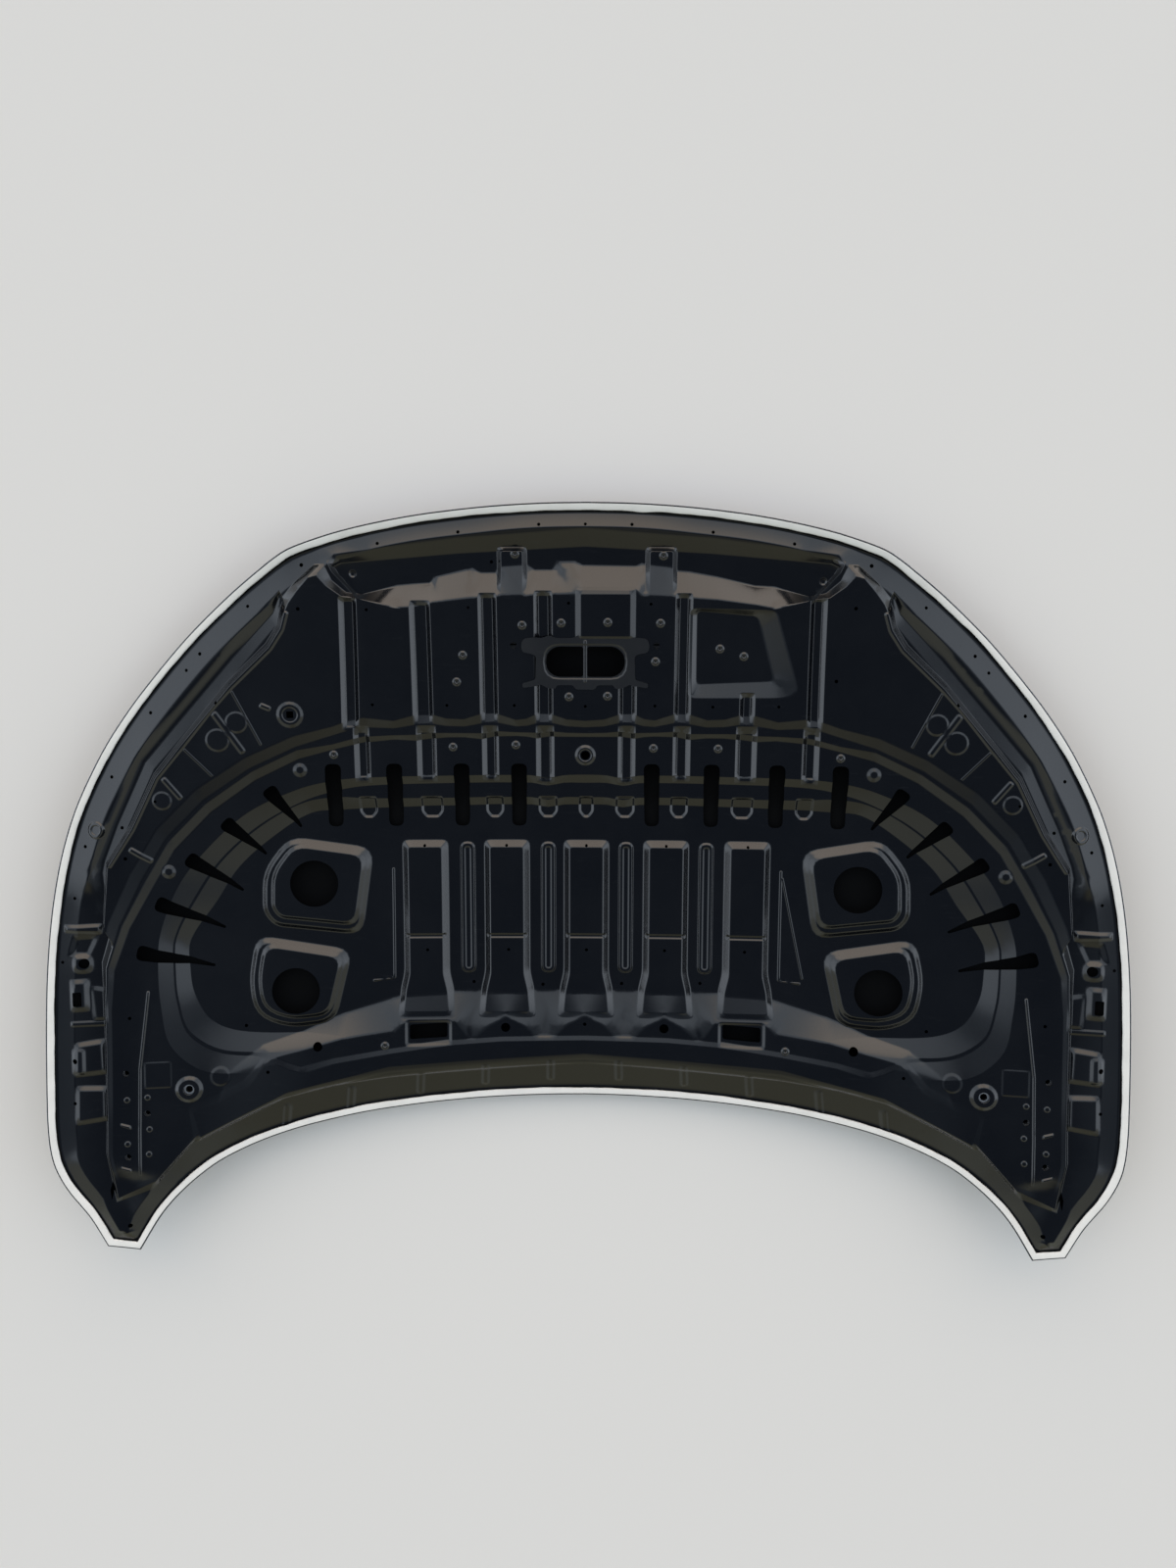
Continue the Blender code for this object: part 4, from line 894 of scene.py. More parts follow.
    def press_rear_beam(self) -> None:
        """The cross member behind the bowl, its V recesses, and the beam along the rear edge."""
        front = [(0, -212), (26, -210), (44, -208), (68, -208), (86, -210), (112, -212), (138, -210), (156, -209),
                 (168, -209), (184, -211), (254, -215), (268, -219), (345, -243), (400, -268), (455, -284),
                 (500, -318)]
        top = [(0, -247), (26, -262), (44, -281), (68, -281), (86, -264), (112, -249), (138, -265), (156, -281),
               (168, -280), (184, -256), (256, -258), (268, -270), (342, -279), (392, -292), (440, -304), (474, -334)]
        rear = [((520, -372), (500, -360)), ((400, -352), (396, -340)), ((277, -336), (277, -322)),
                ((0, -316), (0, -300))]
        outer = whole_loop(front + [a for a, _ in rear])
        inner = whole_loop(top + [b for _, b in rear])
        self.forms.append(Form(*stretched_pair(outer, inner, LAND_STEP, False), self.cross_level, fillet=0.14,
                               far_height=self.middle_level, near_x=380.0, far_x=500.0))
        for x in (-221, 221):
            self.forms.append(pad(rectangle(x - 34, x + 34, -290, -250), 6, 6, -2))
        front = [((0, -272), (0, -281)), ((117, -274), (117, -283)), ((196, -279), (196, -289)),
                 ((276, -290), (276, -300)), ((354, -302), (354, -313)), ((399, -313), (396, -325)),
                 ((415, -308), (414, -320)), ((432, -300), (434, -311)), ((455, -302), (450, -314)),
                 ((480, -331), (470, -341)), ((518, -350), (508, -363)), ((556, -366), (548, -377))]
        rear = [((548, -422), (538, -410)), ((424, -362), (419, -350)), ((277, -328), (277, -315)),
                ((0, -310), (0, -297))]
        outer = whole_loop([a for a, _ in front + rear])
        inner = whole_loop([b for _, b in front + rear])
        self.forms.append(Form(*stretched_pair(outer, inner, LAND_STEP, False), self.beam_level, fillet=0.2,
                               far_height=self.middle_level - 0.8, near_x=380.0, far_x=545.0))
        for x in (-420, -330, -232, -140, -48, 48, 140, 232, 330, 420):
            drop = 0.00036 * x * x
            self.forms.append(ridge_along([(x, -306 - drop), (x * 1.02, -346 - drop * 1.12)], 15, 1))

    def press_columns(self) -> None:
        """The hinge columns and the stepped pads along the side edges."""
        for side in Side:
            for corners, wall, radius, height in (
                    ([(662, -104), (715, -104), (715, -118), (664, -122)], 7, 4, 3),
                    ([(664, -118), (704, -118), (714, -152), (682, -156)], 11, 4, -3.2),
                    ([(676, -146), (706, -146), (706, -176), (676, -176)], 8, 12, 2.4),
                    ([(682, -180), (711, -180), (711, -230), (682, -230)], 10, 6, 3.6),
                    ([(656, -196), (688, -188), (684, -246), (656, -246)], 10, 7, 2.2),
                    ([(660, -242), (711, -240), (711, -250), (660, -252)], 4, 3, 1.2),
                    ([(664, -266), (708, -270), (709, -322), (662, -320)], 10, 5, 3.8),
                    ([(690, -278), (711, -278), (711, -318), (690, -318)], 6, 6, 1.8),
                    ([(662, -334), (708, -330), (709, -390), (662, -386)], 10, 5, 3.8),
                    ([(575, -300), (614, -300), (614, -340), (575, -340)], 4, 3, 0.6)):
                self.forms.append(pad(handed(corners, side), wall, radius, height))
            crest = [(604, -200), (612, -262), (618, -310), (620, -400), (620, -462)]
            self.forms.append(ridge_along(handed(crest, side), 5, 1.4))
            self.forms.append(round_pad((side.value * 553, -342), 20, 7, 3.2))
            self.forms.append(round_pad((side.value * 511, -326), 15, 5, 0.7))
            for x, y in ((636, -353), (609, -351), (607, -396), (636, -415), (608, -431)):
                self.forms.append(round_pad((side.value * x, y), 5, 3, 1.4, 14))
            for x, y in ((638, -391), (638, -452)):
                tab = [(x - 8, y - 5), (x + 7, y + 1), (x + 8, y + 7), (x - 7, y + 2)]
                self.forms.append(pad(handed(tab, side), 2.4, 2, 3))

    def press_dimples(self) -> None:
        """The small round dimples that space the panel from its plates."""
        for x, y in ((-93, 396), (103, 394), (-164, 263), (-173, 227), (-84, 303), (-32, 306), (30, 307), (100, 306),
                     (94, 255), (-22, 207), (30, 208), (-181, 137), (-95, 140), (93, 136), (181, 136), (-343, 127),
                     (346, 125), (212, 262), (180, 272), (-282, -287), (282, -290)):
            self.forms.append(round_pad((x, y), 6.5, 3.4, 1.6, 16))
            self.forms.append(round_pad((x, y), 3, 2, -1.5, 10))

    def side_slots(self) -> list[Loop]:
        """Outer and inner ends of the right-hand slots of the side fan."""
        return [[(617, -145), (518, -171)], [(589, -76), (502, -117)], [(545, -14), (476, -65)],
                [(494, 36), (443, -14)], [(434, 81), (394, 24)]]

    def pierce(self) -> None:
        """Every opening through the panel."""
        self.holes.append(rounded(rectangle(-54.5, 54.5, 232, 276), 18))
        for slot in self.side_slots():
            for outer, inner in (slot, mirrored(slot)):
                self.holes.append(self.wedge(outer, inner, 23, 3.4))
        for x in (-345, -262, -170, -91, 91, 173, 262, 347):
            self.holes.append(self.wedge((x, 114), (x + math.copysign(1.5, x), 24), 22, 20))
        for x, y in ((-377, -55), (377, -59), (-406, -208), (409, -204)):
            self.holes.append(circle((x, y), 33, 40))
        for x, turn in ((-221, 3), (221, -4)):
            slope = math.tan(math.radians(turn))
            loop = rounded(rectangle(-26.5, 26.5, -11, 10), 3.5)
            self.holes.append([(x + px, -266.5 + py + slope * px) for px, py in loop])
        for x, y, radius in ((112, -262, 6.5), (376, -287, 6.5), (553, -342, 7.5), (637, -316, 4.5), (610, -374, 4.5),
                             (636, -434, 4.5), (689, -160, 7), (705, -297, 3.6), (707, -357, 2.4), (637, -534, 3),
                             (630, -238, 2.4), (478, -259, 2.4), (445, -321, 2.4), (374, 381, 2.6), (448, 327, 2.2),
                             (515, 264, 2.4), (534, 242, 2.2), (585, 185, 2.4), (641, 98, 2.4), (680, 3, 2.4),
                             (698, -69, 2.2), (718, -158, 2.2), (273, 409, 2.2), (167, 424, 2.2), (61, 434, 2.2),
                             (631, 28, 2.4), (623, -12, 2.4), (493, 200, 2.2), (580, 66, 2)):
            for side in Side:
                self.holes.append(circle((side.value * x, y), radius, 14 if radius < 5 else 24))
        for x, y, radius in ((0, 434.5, 2), (0, 126, 6), (-96, 276, 4.6), (95, 276, 4.6), (-289, 323, 2),
                             (-155, 326, 2), (-22, 332, 2), (87, 331, 2), (-378, 324, 2.4), (354, 326, 2.4),
                             (-287, 196, 2), (-187, 195, 2), (-96, 195, 2), (0, 194, 2), (94, 195, 2), (172, 194, 2),
                             (260, 195, 2), (334, 230, 2.4), (-125, 386, 2.2), (0, -257, 2.5), (-224, -3, 2),
                             (-110, -3, 2), (1.5, -3, 2), (113, -3, 2), (226, -3, 2), (-222, -152, 2.2),
                             (-108, -152, 2.2), (2, -152, 2.2), (112, -152, 2.2), (224, -152, 2.2), (-158, -201, 2.4),
                             (-60, -205, 2.4), (52, -203, 2.4), (163, -201, 2.4)):
            self.holes.append(circle((x, y), radius, 14 if radius < 5 else 24))
        self.holes.append(rectangle(-401.5, -392.5, 178.5, 187.5))
        clip_hole = rounded(rectangle(694, 706, -220, -200), 2, 2)
        drain = [(659, -468), (663, -482), (661, -496), (657.5, -482)]
        for side in Side:
            self.holes.append(turned_left(handed(clip_hole, side)))
            self.holes.append(turned_left(handed(drain, side)))

    @staticmethod
    def wedge(outer: Point, inner: Point, wide: float, narrow: float) -> Loop:
        """A slot that narrows from its outer to its inner end.

        Args:
            outer: middle of its outer end.
            inner: middle of its inner end.
            wide: width at the outer end.
            narrow: width at the inner end.

        Returns:
            The slot's loop.
        """
        along = (Vector(inner) - Vector(outer)).normalized()
        across = along.orthogonal()
        start, end = Vector(outer), Vector(inner)
        corners = [start + across * wide / 2, start - across * wide / 2, end - across * narrow / 2,
                   end + across * narrow / 2]
        return rounded(turned_left([(p.x, p.y) for p in corners]), min(9, wide * 0.4), 5)

    def under(self, x: np.ndarray, y: np.ndarray) -> np.ndarray:
        """Height of the panel's lower face at each plan point."""
        level = np.full(x.shape, self.hem_level)
        for form in self.forms:
            level = form.applied(level, x, y)
        return DISH.under(x, y) + self.skin + level

    def build(self) -> bpy.types.Object:
        """The panel as one pressed sheet, with a painted shadow line of dark coat along its rim beside the sealer bead.
        """
        edge = inset(OUTLINE.loop(), self.edge_inset)
        guides = [ring for form in self.forms for ring in form.rings()]
        plan = plan_mesh(edge, self.holes, guides, GRID_STEP, 4)
        panel = sheet("inner_panel_pressing", plan, self.under, self.thickness)
        count = len(panel.data.polygons)
        centres = np.zeros(count * 3, np.float32)
        panel.data.polygons.foreach_get("center", centres)
        x, y = centres.reshape(-1, 3)[:, 0] / MM, centres.reshape(-1, 3)[:, 1] / MM - ORIGIN_Y
        # Faces within flange_start of the edge take the dark coat: a painted shadow line between the sealer bead and
        # the flange.
        near = distance_to(x, y, OUTLINE.loop()) < self.flange_start
        panel.data.polygons.foreach_set("material_index", near.astype(np.int32))
        return panel


@dataclass
class Hem:
    """The skin's folded edge and the sealer bead on it, as sections swept round the outline.

    Attributes:
        skin: thickness of the outer skin.
        root: distance from the edge at which the fold opens.
        return_end: distance from the edge at which the folded lip ends.
        return_low: height of the lip's lower face.
        return_top: height of its upper face.
        panel_top: height of the inner panel's rim.
        bead_start: distance from the edge at which the sealer starts.
        bead_end: distance from the edge at which it ends.
        bead_crown: height of its crown.
    """

    skin: float = 0.8
    root: float = 2.2
    return_end: float = 8.8
    return_low: float = 3.0
    return_top: float = 3.8
    panel_top: float = 2.4
    bead_start: float = 2.1
    bead_end: float = 10.2
    bead_crown: float = 4.3

    def ring(self, bm: bmesh.types.BMesh, outline: Loop, distance: np.ndarray | float,
             lift: np.ndarray | float) -> list[bmesh.types.BMVert]:
        """One ring of vertices along the edge.

        Args:
            bm: the mesh.
            outline: the edge.
            distance: how far inside the edge, one value or one for each point.
            lift: height above the skin's outer face, one value or one for each point.

        Returns:
            The ring's vertices.
        """
        unit = np.array(inset(outline, 1)) - np.array(outline)
        plan = np.array(outline) + unit * np.reshape(np.broadcast_to(distance, len(outline)), (-1, 1))
        z = DISH.under(plan[:, 0], plan[:, 1]) + lift
        return [bm.verts.new((p[0], p[1], h)) for p, h in zip(plan, z)]

    @staticmethod
    def swept(bm: bmesh.types.BMesh, rings: list[list[bmesh.types.BMVert]], closed: bool) -> None:
        """Joins each ring to the next, and the last to the first where the section is closed."""
        pairs = list(zip(rings, rings[1:] + rings[:1])) if closed else list(zip(rings, rings[1:]))
        for first, second in pairs:
            count = len(first)
            for i in range(count):
                j = (i + 1) % count
                bm.faces.new((first[i], first[j], second[j], second[i]))

    def build_skin(self) -> bpy.types.Object:
        """The outer skin with its edge folded back over the inner panel."""
        outline = OUTLINE.loop()
        bm = bmesh.new()
        section = [(self.root, self.skin), (self.root - 0.4, 1.3), (self.root - 0.4, 2.6), (self.root, self.return_low),
                   (self.return_end, self.return_low), (self.return_end + 0.25, self.return_low + 0.35),
                   (self.return_end, self.return_top), (1.5, self.return_top), (0.8, self.return_top - 0.15),
                   (0.3, self.return_top - 0.6), (0.02, 2.6), (0.02, 1.2), (0.3, 0.45), (0.8, 0.1), (1.5, 0)]
        rings = [self.ring(bm, outline, distance, lift) for distance, lift in section]
        self.swept(bm, rings, False)
        self.filled(bm, rings[-1], 1.5, 0)
        # The skin's inner face under the panel takes the second material, the dark coat that also paints the shadow
        # line on the panel's rim.
        for face in self.filled(bm, rings[0], self.root, self.skin):
            face.material_index = 1
        bmesh.ops.recalc_face_normals(bm, faces=bm.faces)
        return finished("outer_skin_pressing", bm)

    @staticmethod
    def filled(bm: bmesh.types.BMesh, ring: list[bmesh.types.BMVert], distance: float,
               lift: float) -> list[bmesh.types.BMFace]:
        """Closes a ring with faces that follow the dish.

        Args:
            bm: the mesh.
            ring: the ring of vertices along the edge.
            distance: how far inside the edge the ring lies.
            lift: height of the faces above the skin's outer face.

        Returns:
            The new faces.
        """
        outline = OUTLINE.loop()
        unit = np.array(inset(outline, 1)) - np.array(outline)
        loop = [tuple(p) for p in np.array(outline) + unit * distance]
        flat, faces = plan_mesh(loop, [], [inset(outline, 30), inset(outline, 62)], 26, 9)
        z = DISH.under(flat[:, 0], flat[:, 1]) + lift
        made = {i: ring[i] for i in range(len(loop)) if math.dist(flat[i], loop[i]) < 0.01}
        for i in {i for f in faces for i in f} - made.keys():
            made[i] = bm.verts.new((flat[i, 0], flat[i, 1], z[i]))
        return [bm.faces.new([made[i] for i in f]) for f in faces]

    def build_sealer(self) -> bpy.types.Object:
        """The brushed sealer bead, a little uneven along its inner edge."""
        outline = OUTLINE.loop()
        points = np.array(outline)
        run = np.concatenate([[0], np.cumsum(np.hypot(*np.diff(points, axis=0).T))])
        wave = (0.30 * np.sin(run / 37) + 0.22 * np.sin(run / 13.3 + 1) + 0.16 * np.sin(run / 5.1 + 2))
        rough = np.zeros(len(run))
        for spot, reach, depth in (((75, 462), 12, 2), ((473, 318), 16, 1.4), ((512, 292), 14, -1.6),
                                   ((629, 152), 18, 1.6), ((-640, -545), 14, 1.3), ((560, 226), 12, -1.2),
                                   ((700, -20), 15, 1.2)):
            away = np.hypot(points[:, 0] - spot[0], points[:, 1] - spot[1])
            rough += depth * np.exp(-(away / reach) ** 2)
        end = self.bead_end + wave + rough
        crown = self.bead_crown + 0.12 * np.sin(run / 9) + 0.08 * np.sin(run / 23)
        bm = bmesh.new()
        section = [(self.bead_start, self.return_top + 0.12), (self.bead_start + 0.1, crown - 0.25),
                   (self.bead_start + 0.5, crown - 0.16), (self.bead_start + 1.3, crown), (5.6, crown + 0.06),
                   (end - 1.6, crown), (end - 0.7, crown - 0.25), (end - 0.15, crown - 0.9),
                   (end, self.panel_top + 0.5),
                   (end, self.panel_top + 0.15), (self.return_end + 0.45, self.panel_top + 0.15),
                   (self.return_end + 0.45, self.return_top + 0.12)]
        rings = [self.ring(bm, outline, distance, lift) for distance, lift in section]
        self.swept(bm, rings, True)
        bmesh.ops.recalc_face_normals(bm, faces=bm.faces)
        return finished("hem_sealer_bead", bm)


@dataclass
class StrikerPlate:
    """The dark plate with two windows that frames the striker."""

    thickness: float = 1.8
    gap: float = 0.3
    level: float = 0.0
    forms: list[Form] = field(default_factory=list)

    def __post_init__(self) -> None:
        """Lists the plate's raised rims."""
        self.forms = [pad(rectangle(-57, 57, 230, 279), 3, 22, -1.6, fillet=0.4),
                      pad(rectangle(-2.6, 2.6, 226, 284), 2, 1.2, 1, fillet=0.4)]

    def outline(self) -> Loop:
        """The plate's edge, with its hump, lugs and tabs."""
        points = [(-60, 224), (-50, 218.5), (-40, 218), (-38, 223), (-16, 223), (-13, 217), (13, 217), (16, 223),
                  (38, 223), (40, 218), (50, 218.5), (60, 224), (64, 222), (84, 219), (85, 225), (67, 230), (66, 262),
                  (72, 265), (84, 267), (86, 276), (83, 285), (68, 287), (60, 286), (52, 289), (14, 287), (6, 291),
                  (-8, 291), (-16, 286), (-40, 286), (-48, 290), (-58, 286), (-68, 287), (-83, 285), (-86, 276),
                  (-84, 267), (-72, 265), (-66, 262), (-67, 230), (-85, 225), (-84, 219), (-64, 222)]
        return rounded(turned_left(points), 4, 3)

    def window(self, side: Side) -> Loop:
        """One window, round at its outer end."""
        loop = []
        for i in range(13):
            angle = -math.pi / 2 + math.pi * i / 12
            loop.append((33.0 + 20.5 * math.cos(angle), 254.5 + 20.5 * math.sin(angle)))
        loop += [(5, 275), (2.6, 272.6), (2.6, 236.4), (5, 234)]
        return turned_left(handed(loop, side))

    def under(self, x: np.ndarray, y: np.ndarray) -> np.ndarray:
        """Height of the plate's lower face."""
        level = np.full(x.shape, self.level)
        for form in self.forms:
            level = form.applied(level, x, y)
        return DISH.under(x, y) + level

    def build(self, panel: InnerPanel) -> bpy.types.Object:
        """The plate, laid on the panel's land round the striker.

        Args:
            panel: the panel that it lies on.

        Returns:
            The new object.
        """
        self.level = panel.skin + panel.field_level + panel.thickness + self.gap
        windows = [self.window(Side.LEFT), self.window(Side.RIGHT)]
        guides = [ring for form in self.forms for ring in form.rings()]
        plan = plan_mesh(self.outline(), windows, guides, 8, 2)
        return sheet("striker_window_plate", plan, self.under, self.thickness)


# Finishes

@dataclass(frozen=True)
class Effects:
    """Node groups that the finishes share, each made once."""

    grain: bpy.types.NodeTree
    dust: bpy.types.NodeTree
    scuffs: bpy.types.NodeTree


def new_group(name: str, inputs: dict[str, float], outputs: dict[str, str]) -> bpy.types.NodeTree:
    """Makes an empty node group with its sockets.

    Args:
        name: the group's name.
        inputs: each value input and its default.
        outputs: each output and its socket type.

    Returns:
        The group, with its input and output nodes named In and Out.
    """
    group = bpy.data.node_groups.new(name, "ShaderNodeTree")
    for label, value in inputs.items():
        group.interface.new_socket(label, in_out="INPUT", socket_type="NodeSocketFloat").default_value = value
    for label, kind in outputs.items():
        group.interface.new_socket(label, in_out="OUTPUT", socket_type=kind)
    group.nodes.new("NodeGroupInput").name = "In"
    group.nodes.new("NodeGroupOutput").name = "Out"
    return group


def grain_group() -> bpy.types.NodeTree:
    """Fine unevenness of a painted or brushed surface, as a normal."""
    group = new_group("surface_grain", {"Scale": 900.0, "Depth": 0.00002, "Strength": 0.5},
                      {"Normal": "NodeSocketVector"})
    nodes, links = group.nodes, group.links
    place = nodes.new("ShaderNodeTexCoord")
    noise = nodes.new("ShaderNodeTexNoise")
    noise.inputs["Detail"].default_value = 2.0
    bump = nodes.new("ShaderNodeBump")
    links.new(place.outputs["Object"], noise.inputs["Vector"])
    links.new(nodes["In"].outputs["Scale"], noise.inputs["Scale"])
    links.new(nodes["In"].outputs["Depth"], bump.inputs["Distance"])
    links.new(nodes["In"].outputs["Strength"], bump.inputs["Strength"])
    links.new(noise.outputs["Fac"], bump.inputs["Height"])
    links.new(bump.outputs["Normal"], nodes["Out"].inputs["Normal"])
    return group


def mask_group(name: str, stretch: tuple[float, float, float], low: float, high: float) -> bpy.types.NodeTree:
    """A mask that gathers in patches or streaks.

    Args:
        name: the group's name.
        stretch: scale of the pattern along each axis.
        low: noise value below which the mask is empty.
        high: noise value above which it is full.

    Returns:
        The group, with Scale and Amount in and Mask out.
    """
    group = new_group(name, {"Scale": 10.0, "Amount": 1.0}, {"Mask": "NodeSocketFloat"})
    nodes, links = group.nodes, group.links
    place = nodes.new("ShaderNodeTexCoord")
    mapping = nodes.new("ShaderNodeMapping")
    mapping.inputs["Scale"].default_value = stretch
    noise = nodes.new("ShaderNodeTexNoise")
    noise.inputs["Detail"].default_value = 6.0
    noise.inputs["Roughness"].default_value = 0.62
    ranged = nodes.new("ShaderNodeMapRange")
    ranged.inputs["From Min"].default_value = low
    ranged.inputs["From Max"].default_value = high
    links.new(place.outputs["Object"], mapping.inputs["Vector"])
    links.new(mapping.outputs["Vector"], noise.inputs["Vector"])
    links.new(nodes["In"].outputs["Scale"], noise.inputs["Scale"])
    links.new(noise.outputs["Fac"], ranged.inputs["Value"])
    links.new(nodes["In"].outputs["Amount"], ranged.inputs["To Max"])
    links.new(ranged.outputs["Result"], nodes["Out"].inputs["Mask"])
    return group


def make_effects() -> Effects:
    """Builds the shared node groups."""
    return Effects(grain_group(), mask_group("settled_dust", (1.0, 1.0, 1.0), 0.42, 0.72),
                   mask_group("fine_scuffs", (1.0, 9.0, 1.0), 0.60, 0.70))


@dataclass(frozen=True)
class Finish:
    """A painted, plated or brushed surface.

    Attributes:
        name: the material's name.
        colour: its colour, linear.
        worn: the colour of its dust and scuffs, linear.
        roughness: how dull it is where it is clean.
        dull: how dull it is where dust lies.
        metallic: 1 for bare metal.
        coat: weight of the clear coat.
        coat_roughness: how dull the clear coat is.
        specular: level of the reflection at a straight look.
        grain_scale: grains in each metre.
        grain_depth: height of the grain, in metres.
        dust: strength of the dust.
        dust_scale: patches of dust in each metre.
        scuff: strength of the scuffs.
    """

    name: str
    colour: Colour
    worn: Colour
    roughness: float = 0.3
    dull: float = 0.5
    metallic: float = 0.0
    coat: float = 0.0
    coat_roughness: float = 0.1
    specular: float = 0.5
    grain_scale: float = 900.0
    grain_depth: float = 0.00002
    dust: float = 0.3
    dust_scale: float = 9.0
    scuff: float = 0.3

    def made(self, effects: Effects) -> bpy.types.Material:
        """Builds the material.

        Args:
            effects: the shared node groups.

        Returns:
            The material.
        """
        material = bpy.data.materials.new(self.name)
        material.use_nodes = True
        nodes, links = material.node_tree.nodes, material.node_tree.links
        shader = nodes["Principled BSDF"]
        shader.inputs["Metallic"].default_value = self.metallic
        shader.inputs["Specular IOR Level"].default_value = self.specular
        shader.inputs["Coat Weight"].default_value = self.coat
        shader.inputs["Coat Roughness"].default_value = self.coat_roughness
        grain = self.effect(nodes, effects.grain, {"Scale": self.grain_scale, "Depth": self.grain_depth})
        links.new(grain.outputs["Normal"], shader.inputs["Normal"])
        dust = self.effect(nodes, effects.dust, {"Scale": self.dust_scale, "Amount": self.dust})
        scuffs = self.effect(nodes, effects.scuffs, {"Scale": self.dust_scale * 4, "Amount": self.scuff})
        both = nodes.new("ShaderNodeMath")
        both.operation = "MAXIMUM"
        links.new(dust.outputs["Mask"], both.inputs[0])
        links.new(scuffs.outputs["Mask"], both.inputs[1])
        mix = nodes.new("ShaderNodeMix")
        mix.data_type = "RGBA"
        mix.inputs["A"].default_value = (*self.colour, 1.0)
        mix.inputs["B"].default_value = (*self.worn, 1.0)
        ranged = nodes.new("ShaderNodeMapRange")
        ranged.inputs["To Min"].default_value = self.roughness
        ranged.inputs["To Max"].default_value = self.dull
        links.new(both.outputs["Value"], mix.inputs["Factor"])
        links.new(mix.outputs["Result"], shader.inputs["Base Color"])
        links.new(both.outputs["Value"], ranged.inputs["Value"])
        links.new(ranged.outputs["Result"], shader.inputs["Roughness"])
        return material

    @staticmethod
    def effect(nodes: bpy.types.Nodes, group: bpy.types.NodeTree, values: dict[str, float]) -> bpy.types.Node:
        """Places one of the shared groups in a material with this finish's values."""
        node = nodes.new("ShaderNodeGroup")
        node.node_tree = group
        for label, value in values.items():
            node.inputs[label].default_value = value
        return node


PANEL_PAINT = Finish("navy_satin_paint", (0.0005, 0.0009, 0.0020), (0.010, 0.011, 0.013), roughness=0.18, dull=0.30,
                     coat=0.25, coat_roughness=0.10, dust=0.12, scuff=0.2)
SKIN_PAINT = Finish("navy_gloss_paint", (0.006, 0.009, 0.018), (0.008, 0.009, 0.011), roughness=0.24, dull=0.3,
                    coat=1.0, coat_roughness=0.04, grain_scale=350.0, grain_depth=0.000008, dust=0.2, scuff=0.1)
PLATE_PAINT = Finish("navy_plate_paint", (0.0028, 0.0034, 0.0052), (0.010, 0.011, 0.012), roughness=0.34, dull=0.5,
                     coat=0.1, coat_roughness=0.2, dust=0.3, scuff=0.3)
# A dark matte coat: on the skin's inner face under the panel, and painted as a shadow line on the panel's rim between
# the sealer bead and the flange.
CAVITY_COAT_AND_PAINTED_SHADE = Finish("cavity_coat_and_painted_shade", (0.0012, 0.0014, 0.0018), (0.003, 0.003, 0.003), roughness=0.6, dull=0.8,
                     specular=0.06, dust=0.06, scuff=0.1)
SEALER = Finish("brushed_sealer", (0.68, 0.67, 0.64), (0.56, 0.55, 0.52), roughness=0.55, dull=0.8,
                grain_scale=260.0, grain_depth=0.00035, dust=0.5, dust_scale=30.0, scuff=0.2)
PRIMER = Finish("dark_primer", (0.020, 0.022, 0.026), (0.045, 0.045, 0.045), roughness=0.55, dull=0.75)
STEEL = Finish("plated_nut_steel", (0.42, 0.43, 0.44), (0.25, 0.24, 0.21), roughness=0.32, dull=0.55, metallic=1.0,
               grain_scale=1600.0, dust_scale=60.0)
MASTIC = Finish("grey_mastic", (0.10, 0.10, 0.11), (0.16, 0.16, 0.16), roughness=0.8, dull=0.95, grain_scale=420.0,
                grain_depth=0.0004, dust_scale=40.0)
HIDDEN_FINISHES = {Slot.PRIMER.value: PRIMER, Slot.STEEL.value: STEEL, Slot.MASTIC.value: MASTIC}


# Studio

